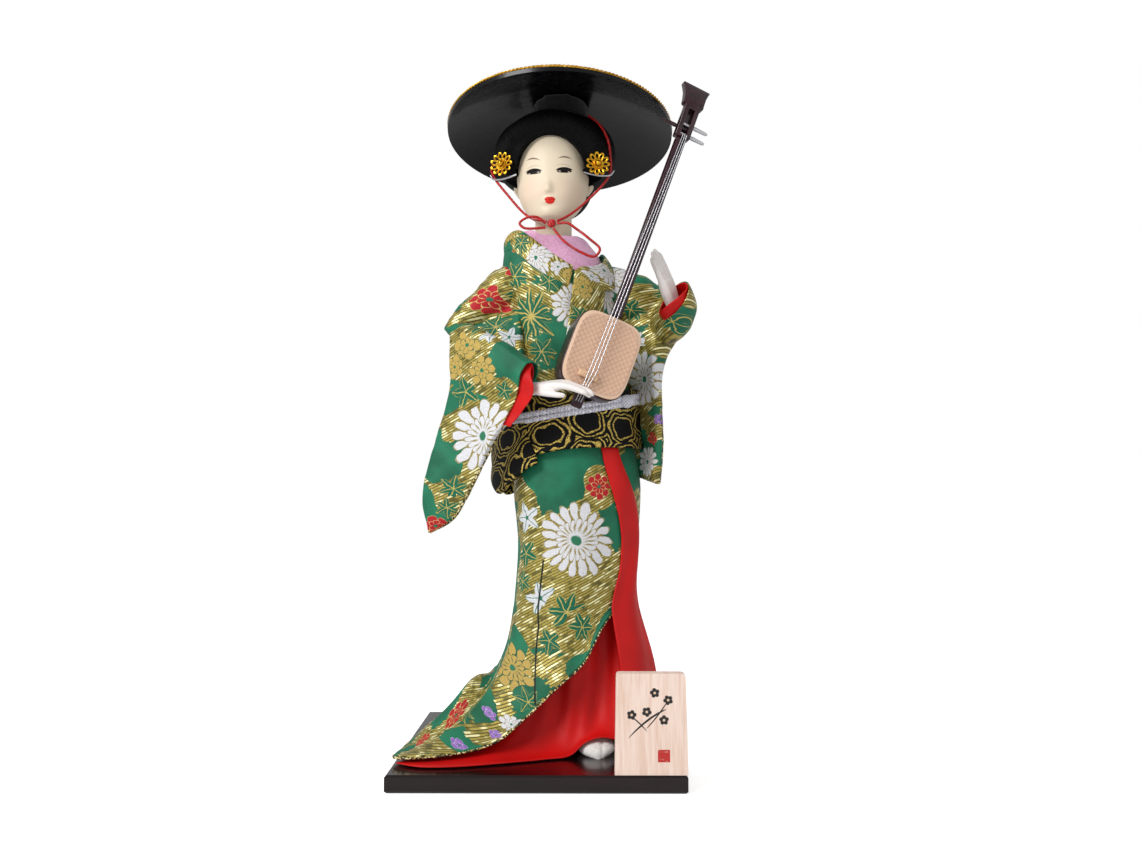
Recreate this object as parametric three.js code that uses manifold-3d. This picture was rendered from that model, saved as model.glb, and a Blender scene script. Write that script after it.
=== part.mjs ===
import * as THREE from 'three';
import { mergeVertices } from 'three/addons/utils/BufferGeometryUtils.js';
import Module from 'manifold-3d';

// Driving dimensions, in millimetres and degrees
const GAP = 0.3;                // space kept between pieces that touch
const CLOTH = 1.4;              // thickness of the brocade
const BASE_WIDTH = 120;
const BASE_DEPTH = 120;
const BASE_THICKNESS = 7;
const BASE_EDGE = 0.8;          // chamfer round the board
const WAIST_HEIGHT = 128;       // waist above the board
const BODY_TURN = 25;           // the trunk faces this far to the viewer's right
const SHOULDER_TILT = 0.18;     // fall of the shoulder line across the trunk
const SKIRT_TOP = 5;            // skirt edge above the waist, under the sash
const KNEE = 66;                // where the skirt starts to spread, below the waist
const AXIS_X = 17;              // the hem is laid out round this axis
const POST_X = 15.5;
const POST_DIAMETER = 8;
const POST_LENGTH = 190;
const SCREW_DIAMETER = 3;
const NECK_X = 5.2;
const HEAD_TURN = -6;
const NECK_RADIUS = 9;
const NECK_PEG = 5;             // radius of the peg under the neck
const HAT_RADIUS = 53.6;
const HAT_RISE = 17;
const HAT_WALL = 1.6;
const HAT_TILT = -11;
const HAT_LIFT = 11.5;          // rim plane of the hat above the middle of the hair
const BRAID = 0.8;              // radius of the rim braid
const CORD = 0.8;               // radius of the tie cord
const FLOWER_RADIUS = 5.3;
const ARM = 2.4;                // radius of the padded wire arms
const LUTE_TURN = 16;
const LUTE_LEAN = 20.7;
const LUTE_HEIGHT = 42.6;       // centre of the sound box above the waist
const LUTE_SHIFT = 3;           // sideways from the middle of the chest
const LUTE_WIDTH = 30.5;
const LUTE_LENGTH = 35.5;
const LUTE_DEPTH = 14;
const LUTE_WALL = 2.4;
const SKIN = 0.8;
const LUTE_NECK_TOP = 106;
const LUTE_HEAD = 28.5;         // head of the lute above its neck
const LUTE_TOP = LUTE_NECK_TOP + LUTE_HEAD;
const STRING = 0.25;
const PLAQUE_WIDTH = 29;
const PLAQUE_TOP_WIDTH = 27.6;
const PLAQUE_HEIGHT = 39.5;
const PLAQUE_THICKNESS = 6;

const D = Math.PI / 180;
const FLOOR = -WAIST_HEIGHT;

// Rows of the dressed body: height above the waist, middle x, half width, half depth
const BODY = [
  [-68, 15.2, 26.2, 20],
  [-40, 16.9, 26, 20],
  [-14, 16.6, 28, 20.5],
  [0, 16.3, 26.5, 19],
  [14, 15.4, 24.5, 17.5],
  [30, 14.4, 24.5, 17.5],
  [52, 12.4, 25.8, 18.5],
  [76, 9.6, 26.5, 17.5],
  [90, 7.8, 24, 16],
  [98, 6.6, 21, 14.5],
  [106, 5.4, 13.5, 12],
];

// Rows of the hem: turn from the front toward the viewer's right, reach from the axis, height above the board
const HEM = [
  [-180, 52, 1.6],
  [-150, 58, 1.6],
  [-116, 66, 1.6],
  [-92, 71, 1.6],
  [-76, 76, 1.6],
  [-67, 83, 1.6],
  [-60, 89, 1.6],
  [-54, 78, 2],
  [-46, 60, 4],
  [-39, 51.5, 8],
  [-31, 44, 16],
  [-17, 34, 27],
  [6, 26.5, 38],
  [24, 23.2, 50],
  [42, 22.2, 57],
  [60, 23.4, 59.5],
  [90, 25.8, 59.5],
  [112, 28, 54],
  [132, 36, 30],
  [155, 47, 5],
  [180, 52, 1.6],
];

// Side of the skirt where the train folds over: share of the way, share of the spread, share of the fall
const TRAIN = [
  [0, 0, 0],
  [0.25, 0.07, 0.3],
  [0.45, 0.17, 0.5],
  [0.55, 0.25, 0.55],
  [0.65, 0.39, 0.55],
  [0.73, 0.52, 0.58],
  [0.82, 0.68, 0.71],
  [0.91, 0.84, 0.86],
  [1, 1, 1],
];
// Rows of the head: height above the waist, middle y, half width, half depth
const HEAD = [
  [107.5, -11, 4.5, 5.5],
  [110, -8.6, 8.6, 9],
  [114, -6, 12, 12.2],
  [119, -4, 14.8, 14.8],
  [126, -2, 16.6, 16.8],
  [134, 0, 17.2, 18.2],
  [143, 1, 16.8, 18],
  [150, 1.5, 14, 15.5],
  [155, 2, 9.5, 10.5],
  [157.5, 2, 4, 4.5],
];

const CROWN = { x: 0.3, y: 3, z: 143.5, rx: 28.8, ry: 21.5, rz: 19.5, round: 0.88 };
const HAT_HEIGHT = CROWN.z + HAT_LIFT;

const wasm = await Module();
wasm.setup();

const V = (x, y, z) => new THREE.Vector3(x, y, z);
const mix = (a, b, t) => a + (b - a) * t;
const clamp = (x, a, b) => Math.min(b, Math.max(a, x));
const ease = (a, b, x) => {
  const t = clamp((x - a) / (b - a), 0, 1);
  return t * t * (3 - 2 * t);
};

// Smooth reading between the rows of a table
function along(rows, x) {
  let i = 0;
  while (i < rows.length - 2 && x > rows[i + 1][0]) i += 1;
  const p = rows[i];
  const q = rows[i + 1];
  const o = rows[Math.max(0, i - 1)];
  const r = rows[Math.min(rows.length - 1, i + 2)];
  const span = q[0] - p[0];
  const t = clamp((x - p[0]) / span, 0, 1);
  const out = [];
  for (let c = 1; c < p.length; c += 1) {
    const a = ((q[c] - o[c]) / (q[0] - o[0])) * span;
    const b = ((r[c] - p[c]) / (r[0] - p[0])) * span;
    const s = t * t;
    const k = s * t;
    out.push(p[c] * (2 * k - 3 * s + 1) + a * (k - 2 * s + t) + q[c] * (3 * s - 2 * k) + b * (k - s));
  }
  return out;
}

function closedGeometry(points, faces) {
  const flat = [];
  points.forEach((p) => flat.push(p.x, p.y, p.z));
  let volume = 0;
  faces.forEach(([a, b, c]) => {
    volume += points[a].dot(V(0, 0, 0).crossVectors(points[b], points[c]));
  });
  const index = [];
  faces.forEach(([a, b, c]) => (volume > 0 ? index.push(a, b, c) : index.push(a, c, b)));
  const geometry = new THREE.BufferGeometry();
  geometry.setAttribute('position', new THREE.Float32BufferAttribute(flat, 3));
  geometry.setIndex(index);
  return geometry;
}

// Closed body through rings of points, with flat ends
function skin(rings) {
  const n = rings[0].length;
  const points = [].concat(...rings);
  const faces = [];
  for (let i = 0; i < rings.length - 1; i += 1) {
    for (let j = 0; j < n; j += 1) {
      const a = i * n + j;
      const b = i * n + ((j + 1) % n);
      faces.push([a, b, b + n], [a, b + n, a + n]);
    }
  }
  const last = (rings.length - 1) * n;
  [0, last].forEach((start) => {
    const middle = V(0, 0, 0);
    for (let j = 0; j < n; j += 1) middle.addScaledVector(points[start + j], 1 / n);
    const m = points.push(middle) - 1;
    for (let j = 0; j < n; j += 1) {
      const pair = [start + j, start + ((j + 1) % n)];
      faces.push(start === 0 ? [m, pair[1], pair[0]] : [m, pair[0], pair[1]]);
    }
  });
  return closedGeometry(points, faces);
}

// Closed body between two faces of cloth; a looped cloth joins its last column to its first
function between(front, back, nu, nv, looped = false) {
  const columns = looped ? nu : nu + 1;
  const points = [];
  [front, back].forEach((face) => {
    for (let i = 0; i < columns; i += 1) {
      for (let j = 0; j <= nv; j += 1) points.push(face(i / nu, j / nv));
    }
  });
  const half = columns * (nv + 1);
  const at = (i, j) => (i % columns) * (nv + 1) + j;
  const faces = [];
  const quad = (a, b, c, d) => faces.push([a, b, c], [a, c, d]);
  for (let i = 0; i < (looped ? nu : nu); i += 1) {
    for (let j = 0; j < nv; j += 1) {
      const [a, b, c, d] = [at(i, j), at(i + 1, j), at(i + 1, j + 1), at(i, j + 1)];
      quad(a, b, c, d);
      quad(half + d, half + c, half + b, half + a);
    }
    quad(at(i + 1, 0), at(i, 0), half + at(i, 0), half + at(i + 1, 0));
    quad(at(i, nv), at(i + 1, nv), half + at(i + 1, nv), half + at(i, nv));
  }
  if (!looped) {
    for (let j = 0; j < nv; j += 1) {
      quad(at(0, j), at(0, j + 1), half + at(0, j + 1), half + at(0, j));
      quad(at(nu, j + 1), at(nu, j), half + at(nu, j), half + at(nu, j + 1));
    }
  }
  return closedGeometry(points, faces);
}

// Cloth of even thickness under a face given by u and v
function cloth(face, thickness, nu, nv, looped = false) {
  const step = 0.004;
  const inner = (u, v) => {
    const wrap = (x) => (looped ? x : clamp(x, 0, 1));
    const du = face(wrap(u + step), v).sub(face(wrap(u - step), v));
    const dv = face(u, clamp(v + step, 0, 1)).sub(face(u, clamp(v - step, 0, 1)));
    const normal = du.cross(dv).normalize();
    return face(u, v).addScaledVector(normal, thickness);
  };
  return between(face, inner, nu, nv, looped);
}

// Round bar through points, with one radius for each point
function limb(points, radii, sides = 8) {
  let side = null;
  const rings = points.map((p, i) => {
    const before = points[Math.max(0, i - 1)];
    const after = points[Math.min(points.length - 1, i + 1)];
    const way = after.clone().sub(before).normalize();
    if (!side) side = Math.abs(way.z) > 0.9 ? V(1, 0, 0) : V(0, 0, 1);
    side = side.clone().addScaledVector(way, -side.dot(way)).normalize();
    const other = way.clone().cross(side);
    const ring = [];
    for (let k = 0; k < sides; k += 1) {
      const a = (2 * Math.PI * k) / sides;
      ring.push(p.clone().addScaledVector(side, radii[i] * Math.cos(a)).addScaledVector(other, radii[i] * Math.sin(a)));
    }
    return ring;
  });
  return skin(rings);
}

function cord(points, radius, steps, sides = 6) {
  const path = new THREE.CatmullRomCurve3(points).getSpacedPoints(steps);
  return limb(path, path.map(() => radius), sides);
}

function ellipse(cx, cy, a, b, z, n) {
  const ring = [];
  for (let k = 0; k < n; k += 1) {
    const t = (2 * Math.PI * k) / n;
    ring.push(V(cx + a * Math.sin(t), cy - b * Math.cos(t), z));
  }
  return ring;
}

// Rounded block: round 1 is an ellipsoid, less is squarer
function blob(c, grow = 0, nu = 24, nv = 12) {
  const power = (x) => Math.sign(x) * Math.abs(x) ** c.round;
  const rings = [];
  for (let i = 0; i <= nv; i += 1) {
    const lat = mix(-Math.PI / 2, Math.PI / 2, clamp(i / nv, 0.02, 0.98));
    const ring = [];
    for (let k = 0; k < nu; k += 1) {
      const lon = (2 * Math.PI * k) / nu;
      const r = Math.cos(lat) ** c.round;
      ring.push(V(
        c.x + (c.rx + grow) * r * power(Math.sin(lon)),
        c.y - (c.ry + grow) * r * power(Math.cos(lon)),
        c.z + (c.rz + grow) * power(Math.sin(lat)),
      ));
    }
    rings.push(ring);
  }
  return skin(rings);
}

function lathe(profile, segments) {
  const geometry = new THREE.LatheGeometry(profile.map(([r, z]) => new THREE.Vector2(r, z)), segments);
  geometry.rotateX(Math.PI / 2);
  return geometry;
}

function toSolid(geometry) {
  let bare = geometry.clone();
  bare.deleteAttribute('normal');
  bare.deleteAttribute('uv');
  bare = mergeVertices(bare, 1e-4);
  const old = bare.index.array;
  const kept = [];
  for (let i = 0; i < old.length; i += 3) {
    const [a, b, c] = [old[i], old[i + 1], old[i + 2]];
    if (a !== b && b !== c && c !== a) kept.push(a, b, c);
  }
  return new wasm.Manifold(new wasm.Mesh({
    numProp: 3,
    vertProperties: new Float32Array(bare.attributes.position.array),
    triVerts: new Uint32Array(kept),
  }));
}

function toGeometry(solid) {
  const mesh = solid.getMesh();
  const geometry = new THREE.BufferGeometry();
  geometry.setAttribute('position', new THREE.BufferAttribute(new Float32Array(mesh.vertProperties), 3));
  geometry.setIndex(new THREE.BufferAttribute(new Uint32Array(mesh.triVerts), 1));
  return geometry;
}

function cut(body, ...tools) {
  let solid = toSolid(body);
  tools.forEach((tool) => {
    solid = solid.subtract(toSolid(tool));
  });
  return toGeometry(solid);
}

function join(...bodies) {
  let solid = toSolid(bodies[0]);
  bodies.slice(1).forEach((body) => {
    solid = solid.add(toSolid(body));
  });
  return toGeometry(solid);
}

const paint = (color, roughness = 0.6, metalness = 0) => (
  new THREE.MeshStandardMaterial({ color, roughness, metalness }));
const LACQUER = paint(0x14090c, 0.15);
const BROCADE = paint(0x1f7050, 0.6);
const RED = paint(0xb01010, 0.5);
const PINK = paint(0xedb4d7, 0.7);
const SASH = paint(0x1a1818, 0.6);
const BRAIDED = paint(0xc8c6d7, 0.7);
const FACE = paint(0xe2d7c4, 0.5);
const HAND = paint(0xebe6e4, 0.5);
const HAIR = paint(0x0c0b0d, 0.5);
const GILT = paint(0xd7a01e, 0.3, 1);
const STEEL = paint(0xb8b8bc, 0.3, 1);
const WOOD = paint(0xeed9ca, 0.6);
const DOWEL = paint(0xc8a878, 0.7);
const PADDING = paint(0xe6e2d8, 0.9);
const LUTE = paint(0x3a1e26, 0.3);
const HIDE = paint(0xd6b094, 0.6);

const whole = new THREE.Group();
const figure = new THREE.Group();
figure.position.z = BASE_THICKNESS + WAIST_HEIGHT;
whole.add(figure);

function add(group, name, geometry, material) {
  geometry.computeVertexNormals();
  const mesh = new THREE.Mesh(geometry, material);
  mesh.name = name;
  group.add(mesh);
}

// A point on the dressed body: q turns from the chest toward the viewer's right
function bodyPoint(q, t, grow) {
  const [cx, a, b] = along(BODY, t);
  const x = (a + grow) * Math.sin(q);
  const y = -(b + grow) * Math.cos(q);
  const lift = -SHOULDER_TILT * ease(40, 95, t) * x;
  const c = Math.cos(BODY_TURN * D);
  const s = Math.sin(BODY_TURN * D);
  return V(cx + x * c - y * s, x * s + y * c, t + lift);
}

function bodySolid(low, high, grow, rows, n) {
  const rings = [];
  for (let i = 0; i <= rows; i += 1) {
    const ring = [];
    for (let k = 0; k < n; k += 1) ring.push(bodyPoint((2 * Math.PI * k) / n, mix(low, high, i / rows), grow));
    rings.push(ring);
  }
  return skin(rings);
}

// A point on the skirt: turn in degrees from the front toward the viewer's right, v from waist to hem
function skirtPoint(turn, v, grow) {
  const q = (turn - BODY_TURN) * D;
  if (v <= 0.4) return bodyPoint(q, mix(SKIRT_TOP, -KNEE, v / 0.4), grow);
  const w = (v - 0.4) / 0.6;
  const knee = bodyPoint(q, -KNEE, grow);
  const around = ((((turn + 180) % 360) + 360) % 360) - 180;
  const [reach, lift] = along(HEM, around);
  const train = ease(-182, -150, around) * (1 - ease(-60, -36, around));
  const fold = train * Math.cos(9 * around * D + 0.6);
  const [far, fall] = along(TRAIN, w);
  const side = ease(-142, -114, around) * (1 - ease(-76, -60, around));
  const out = mix(w ** 1.7, far, side);
  const down = mix(1 - (1 - w) ** 1.6, fall, side);
  const r = reach + grow - CLOTH + 1.6 * fold * w;
  const x = mix(knee.x, AXIS_X + r * Math.sin(around * D), out);
  const y = mix(knee.y, -r * Math.cos(around * D), out);
  const ripple = 1.8 * fold * Math.sin(Math.PI * w);
  return V(x, y, mix(knee.z, FLOOR + lift + CLOTH, down) + ripple);
}

// Board, post and screw
const half = { x: BASE_WIDTH / 2 - BASE_EDGE, y: BASE_DEPTH / 2 - BASE_EDGE };
const boardShape = new THREE.Shape();
boardShape.moveTo(-half.x, -half.y);
boardShape.lineTo(half.x, -half.y);
boardShape.lineTo(half.x, half.y);
boardShape.lineTo(-half.x, half.y);
boardShape.closePath();
const board = new THREE.ExtrudeGeometry(boardShape, {
  depth: BASE_THICKNESS - 2 * BASE_EDGE,
  bevelThickness: BASE_EDGE,
  bevelSize: BASE_EDGE,
  bevelSegments: 1,
});
board.translate(0, 0, BASE_EDGE);
const head = SCREW_DIAMETER;
const shank = SCREW_DIAMETER / 2;
const screwHole = lathe([
  [0, -1],
  [head + GAP + 1, -1],
  [shank + GAP, head - 0.5],
  [shank + GAP, BASE_THICKNESS + 1],
  [0, BASE_THICKNESS + 1],
], 20);
screwHole.translate(POST_X, 0, 0);
add(whole, 'base_board', cut(board, screwHole), LACQUER);
const screw = lathe([
  [0, 0.4],
  [head - 0.5, 0.4],
  [shank, head - 0.6],
  [shank, BASE_THICKNESS + 14],
  [0, BASE_THICKNESS + 16],
], 20);
screw.translate(POST_X, 0, 0);
add(whole, 'base_screw', screw, STEEL);

const post = POST_DIAMETER / 2;
const postBody = lathe([[0, 0], [post, 0], [post, POST_LENGTH], [0, POST_LENGTH]], 20);
const pilot = lathe([[0, -1], [shank + GAP, -1], [shank + GAP, 17], [0, 17]], 16);
const postGeometry = cut(postBody, pilot);
postGeometry.translate(POST_X, 0, FLOOR);
add(figure, 'support_post', postGeometry, DOWEL);
const postBore = lathe([[0, -2], [post + GAP, -2], [post + GAP, POST_LENGTH + GAP], [0, POST_LENGTH + GAP]], 20);
postBore.translate(POST_X, 0, FLOOR);

// Padding of the legs
const legRings = [];
for (let i = 0; i <= 3; i += 1) {
  const u = i / 3;
  legRings.push(ellipse(POST_X, 0, mix(10, 21, u ** 0.7), mix(9, 14.5, u ** 0.7), mix(FLOOR + 17, -12, u), 14));
}
add(figure, 'leg_core', cut(skin(legRings), postBore), PADDING);

// Feet, flat on the board
function foot(x, y, turn, lift) {
  const rings = [];
  for (let i = 0; i <= 7; i += 1) {
    const u = [0, 0.2, 0.4, 0.58, 0.74, 0.87, 0.96, 1][i];
    const tip = Math.sqrt(Math.max(0, 1 - ease(0.6, 1.04, u) ** 1.6));
    const wide = mix(5.4, 8.2, ease(0, 0.6, u)) * mix(0.3, 1, tip);
    const high = mix(13, 6.4, ease(0.1, 0.8, u)) * mix(0.45, 1, tip);
    const ring = [];
    for (let k = 0; k < 12; k += 1) {
      const a = (2 * Math.PI * k) / 12;
      ring.push(V(wide * Math.sin(a), mix(14, -14, u), Math.max(0, high * (0.42 - 0.58 * Math.cos(a)))));
    }
    rings.push(ring);
  }
  const body = skin(rings);
  body.rotateZ(turn * D);
  body.translate(x, y, FLOOR + lift);
  return body;
}
add(figure, 'right_foot', foot(24, -20.5, 4, 0), HAND);
add(figure, 'left_foot', foot(0.5, 1, -12, 0), HAND);

// Red under-skirt: its hem runs along the board from the train's tip, over the foot, to the right
const underHem = new THREE.CatmullRomCurve3([
  V(-59, -44.5, 0),
  V(-47.5, -50.5, 0),
  V(-33, -50, 0),
  V(-13, -44, 0),
  V(3, -38, 0),
  V(13, -34.5, 0.6),
  V(19, -31.5, 5),
  V(26, -30.5, 7.2),
  V(33, -29.5, 6),
  V(42, -26, 2),
  V(51, -18, 0),
  V(56, -6, 0),
  V(51, 11, 0),
  V(38, 26, 0),
]);
function underPoint(u, v) {
  const top = bodyPoint((mix(-70, 118, u) - BODY_TURN) * D, 4 - KNEE, -0.9);
  const low = underHem.getPoint(u);
  const right = ease(0.5, 0.75, u);
  const out = v ** mix(2.4, 1.35, right);
  const down = 1 - (1 - v) ** mix(1.9, 1.25, right);
  const fold = 1.1 * Math.sin(26 * u) * Math.sin(Math.PI * v) * ease(0.08, 0.2, u);
  return V(mix(top.x, low.x, out), mix(top.y, low.y, out) + fold, mix(top.z, FLOOR + low.z + 1.2, down));
}
add(figure, 'under_skirt', cloth(underPoint, 1, 30, 7), RED);

// Brocade skirt with its train, and the red turned-back edge
const skirtFace = (u, v) => skirtPoint(-360 * u, v, CLOTH);
add(figure, 'skirt', cloth(skirtFace, -CLOTH, 40, 11, true), BROCADE);
function facingPoint(u, v) {
  const left = mix(29, 47, ease(0, 0.45, v)) - 9 * ease(0.5, 0.72, v);
  const right = mix(47, 84, ease(0, 0.45, v));
  const t = mix(SKIRT_TOP - 1, -KNEE - 32, v);
  const flare = 9 * ease(-KNEE + 10, -KNEE - 38, t);
  return bodyPoint((mix(left, right, u) - BODY_TURN) * D, t, CLOTH + GAP + 1.4 + flare);
}
add(figure, 'skirt_facing', cloth(facingPoint, 1, 4, 10), RED);

// Arms: padded wires from the trunk to the wrists
const rightArm = [V(-5, -4.5, 76), V(-14, -8, 76), V(-30, -12, 65), V(-37, -15.5, 58), V(-31, -21, 52), V(-4, -41.5, 29)];
const leftArm = [V(18, 3, 74), V(32, 5, 73), V(54, -1, 66), V(63, -5, 62.5), V(64.5, -9, 65), V(61.5, -12.5, 71)];
const armPath = (points, radius) => cord(points, radius, 12, 7);

// Trunk and bodice
const neckBore = lathe([[0, 66], [NECK_PEG + GAP, 66], [NECK_PEG + GAP, 110], [0, 110]], 20);
neckBore.translate(NECK_X, 0, 0);
const armBores = [armPath(rightArm, ARM + GAP), armPath(leftArm, ARM + GAP)];
const trunk = cut(bodySolid(-8, 76, -2.6, 4, 14), postBore, neckBore, ...armBores);
add(figure, 'torso_core', trunk, PADDING);
add(figure, 'right_arm', armPath(rightArm, ARM), PADDING);
add(figure, 'left_arm', armPath(leftArm, ARM), PADDING);

const neckline = (q) => {
  const a = Math.abs(Math.atan2(Math.sin(q), Math.cos(q))) / D;
  return 84 + 14.5 * ease(0, 78, a) - 3 * ease(110, 180, a);
};
const bodiceFace = (g) => (u, v) => {
  const q = -2 * Math.PI * u;
  return bodyPoint(q, mix(SKIRT_TOP + 1.5, neckline(q), v), g);
};
const bodice = between(bodiceFace(CLOTH), bodiceFace(0), 28, 7, true);
add(figure, 'bodice', cut(bodice, ...armBores), BROCADE);
const innerFace = (g) => (u, v) => {
  const q = -2 * Math.PI * u;
  const low = neckline(q) - 5;
  if (v < 0.4) return bodyPoint(q, mix(low, neckline(q) + 0.5, v / 0.4), g);
  const edge = bodyPoint(q, neckline(q) + 0.5, g);
  const turn = q + BODY_TURN * D;
  const r = NECK_RADIUS + 3 + g;
  const neck = V(NECK_X + r * Math.sin(turn), -r * Math.cos(turn), 103.5 - 2 * Math.cos(turn));
  const s = (v - 0.4) / 0.6;
  return edge.lerp(neck, s).add(V(0, 0, 1.6 * Math.sin(Math.PI * s)));
};
add(figure, 'inner_collar', between(innerFace(-3 * GAP), innerFace(-3 * GAP - 1.1), 24, 5, true), PINK);

// Collar bands: height and turn along each band, then across it
function collar(turnAt, heightAt, lift, width) {
  const point = (u, v) => {
    const step = 0.01;
    const q = turnAt(u) * D;
    const slope = (heightAt(clamp(u + step, 0, 1)) - heightAt(clamp(u - step, 0, 1)));
    const run = (turnAt(clamp(u + step, 0, 1)) - turnAt(clamp(u - step, 0, 1))) * D * 20;
    const size = Math.hypot(slope, run);
    const across = (v - 0.5) * width;
    return bodyPoint(q - (across * slope) / size / 20, heightAt(u) + (across * run) / size, lift(u));
  };
  return point;
}
const underTurn = (u) => mix(-174, -6, u);
const underHigh = (u) => neckline(underTurn(u) * D) - 1.5;
add(figure, 'collar_under', cloth(collar(underTurn, underHigh, () => CLOTH + GAP + 1.3, 6), 0.9, 18, 2), BROCADE);
const overTurn = (u) => (u < 0.65 ? mix(174, 4, u / 0.65) : mix(4, -22, (u - 0.65) / 0.35));
const overHigh = (u) => (u < 0.65 ? neckline(overTurn(u) * D) - 1.5 : mix(82.5, 33, (u - 0.65) / 0.35));
const overLift = (u) => CLOTH + GAP + 1.3 + 1.4 * ease(0.4, 0.58, u);
add(figure, 'collar_over', cloth(collar(overTurn, overHigh, overLift, 6), -0.9, 26, 2), BROCADE);

// Sash
const sashLow = (q) => 3.5 - 10 * ((1 - Math.sin(q)) / 1.87) ** 5;
const sashHigh = (q) => 27.5 + (Math.sin(q) > 0 ? 5 : 1.5) * Math.sin(q);
const SASH_IN = CLOTH + 2 * GAP + 1.3;
const SASH_OUT = SASH_IN + 2.2;
const sashFace = (g) => (u, v) => {
  const q = -2 * Math.PI * u;
  return bodyPoint(q, mix(sashLow(q), sashHigh(q), v), g);
};
const sash = between(sashFace(SASH_OUT), sashFace(SASH_IN), 28, 3, true);
add(figure, 'obi_band', sash, SASH);
const cordFace = (g) => (u, v) => {
  const q = mix(112, -112, u) * D;
  return bodyPoint(q, 22 + 6 * Math.sin(q) + mix(-2.4, 2.4, v), g + 0.5 * Math.sin(Math.PI * v));
};
add(figure, 'obi_cord', between(cordFace(SASH_OUT + GAP + 1.6), cordFace(SASH_OUT + GAP), 20, 2), BRAIDED);
const knotAt = bodyPoint(26 * D, 24.6, SASH_OUT + 2 * GAP + 4.4);
add(figure, 'obi_knot', blob({ x: knotAt.x, y: knotAt.y, z: knotAt.z, rx: 3, ry: 1.1, rz: 3, round: 0.9 }, 0, 10, 5), BRAIDED);

// Sash bow at the back: a soft drum and the end hanging below it
const backAt = (g, t) => bodyPoint(Math.PI, t, g);
const drumRings = [];
for (let i = 0; i <= 8; i += 1) {
  const x = mix(-29, 25, i / 8);
  const end = Math.sqrt(1 - ((i - 4) / 4.6) ** 2);
  const ring = [];
  for (let k = 0; k < 16; k += 1) {
    const a = (2 * Math.PI * k) / 16;
    const power = (s) => Math.sign(s) * Math.abs(s) ** 0.6;
    ring.push(V(x, 5.5 * mix(0.75, 1, end) * power(Math.cos(a)), 19 * mix(0.86, 1, end) * power(Math.sin(a))));
  }
  drumRings.push(ring);
}
const drumAt = backAt(SASH_OUT + GAP + 6.2, 12);
const drum = skin(drumRings);
drum.rotateZ(BODY_TURN * D);
drum.translate(drumAt.x, drumAt.y, drumAt.z);
const keepOff = bodySolid(-22, 34, SASH_OUT + GAP, 8, 40);
const cordKeepOff = between(
  (u, v) => cordFace(SASH_OUT + 2.6 + GAP)(mix(-0.02, 1.02, u), mix(-0.15, 1.15, v)),
  (u, v) => cordFace(SASH_OUT - 1)(mix(-0.02, 1.02, u), mix(-0.15, 1.15, v)), 26, 2);
add(figure, 'obi_drum', cut(drum, keepOff, cordKeepOff), SASH);
const tailFace = (u, v) => {
  const p = V(mix(-28, 20, u), 0, mix(-4, -17, v));
  p.y = 2.5 - 2 * ((u - 0.5) * 2) ** 2 + 1.5 * v;
  p.applyAxisAngle(V(0, 0, 1), BODY_TURN * D);
  return p.add(V(drumAt.x, drumAt.y, 0));
};
const tail = cut(cloth(tailFace, 2.4, 8, 3), keepOff, (() => {
  const big = drum.clone();
  big.translate(-drumAt.x, -drumAt.y, -drumAt.z);
  big.rotateZ(-BODY_TURN * D);
  big.scale(1.02, 1.07, 1.02);
  big.rotateZ(BODY_TURN * D);
  big.translate(drumAt.x, drumAt.y, drumAt.z);
  return big;
})(), bodySolid(-30, 2, CLOTH + GAP + 1.5, 8, 40));
add(figure, 'obi_tail', tail, SASH);

// Sleeves: a hanging bag under the arm, from four edge curves
const curve = (...points) => {
  const path = new THREE.CatmullRomCurve3(points);
  return (t) => path.getPointAt(clamp(t, 0, 1));
};
function bagFaces(edges, way, thick, fold) {
  const normal = V(way[1], -way[0], 0).normalize();
  const middle = (s, t) => {
    const p = V(0, 0, 0);
    p.addScaledVector(edges.top(s), 1 - t).addScaledVector(edges.bottom(s), t);
    p.addScaledVector(edges.back(t), 1 - s).addScaledVector(edges.front(t), s);
    p.addScaledVector(edges.top(0), -(1 - s) * (1 - t)).addScaledVector(edges.top(1), -s * (1 - t));
    p.addScaledVector(edges.bottom(0), -(1 - s) * t).addScaledVector(edges.bottom(1), -s * t);
    return p.addScaledVector(normal, fold(s, t));
  };
  return (side, grow, from = 0, to = 1) => (s, t) => {
    const at = mix(from, to, s);
    const p = middle(Math.min(at, 1), t).addScaledVector(normal, side * (thick(Math.min(at, 1), t) / 2 + grow));
    if (at > 1) p.add(V(way[0], way[1], -0.55).multiplyScalar((at - 1) * 40));
    return p;
  };
}
const rightEdges = {
  top: curve(V(-41, -13, 62.5), V(-28, -23.5, 57), V(-13.6, -34, 47.8), V(-2.4, -42, 38.8)),
  front: curve(V(-2.4, -42, 38.8), V(-4.5, -41.5, 24), V(-15.1, -36, 12.4)),
  bottom: curve(V(-49, -17, -34), V(-39, -20.5, -28.4), V(-29.7, -25, -13), V(-15.1, -36, 12.4)),
  back: curve(V(-41, -13, 62.5), V(-40.5, -14.5, 31), V(-45.7, -15.5, 11.7), V(-51.8, -17, -18.3), V(-49, -17, -34)),
};
const rightThick = (s, t) => (3 + 8.5 * Math.exp(-(((t - 0.2) / 0.22) ** 2))) * mix(0.75, 1, ease(0, 0.3, s));
const rightFold = (s, t) => 1.6 * Math.sin(6 * s + 2.5 * t) * ease(0.25, 1, t) * (1 - ease(0.8, 1, s));
const rightBag = bagFaces(rightEdges, [0.8, -0.6], rightThick, rightFold);
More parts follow.
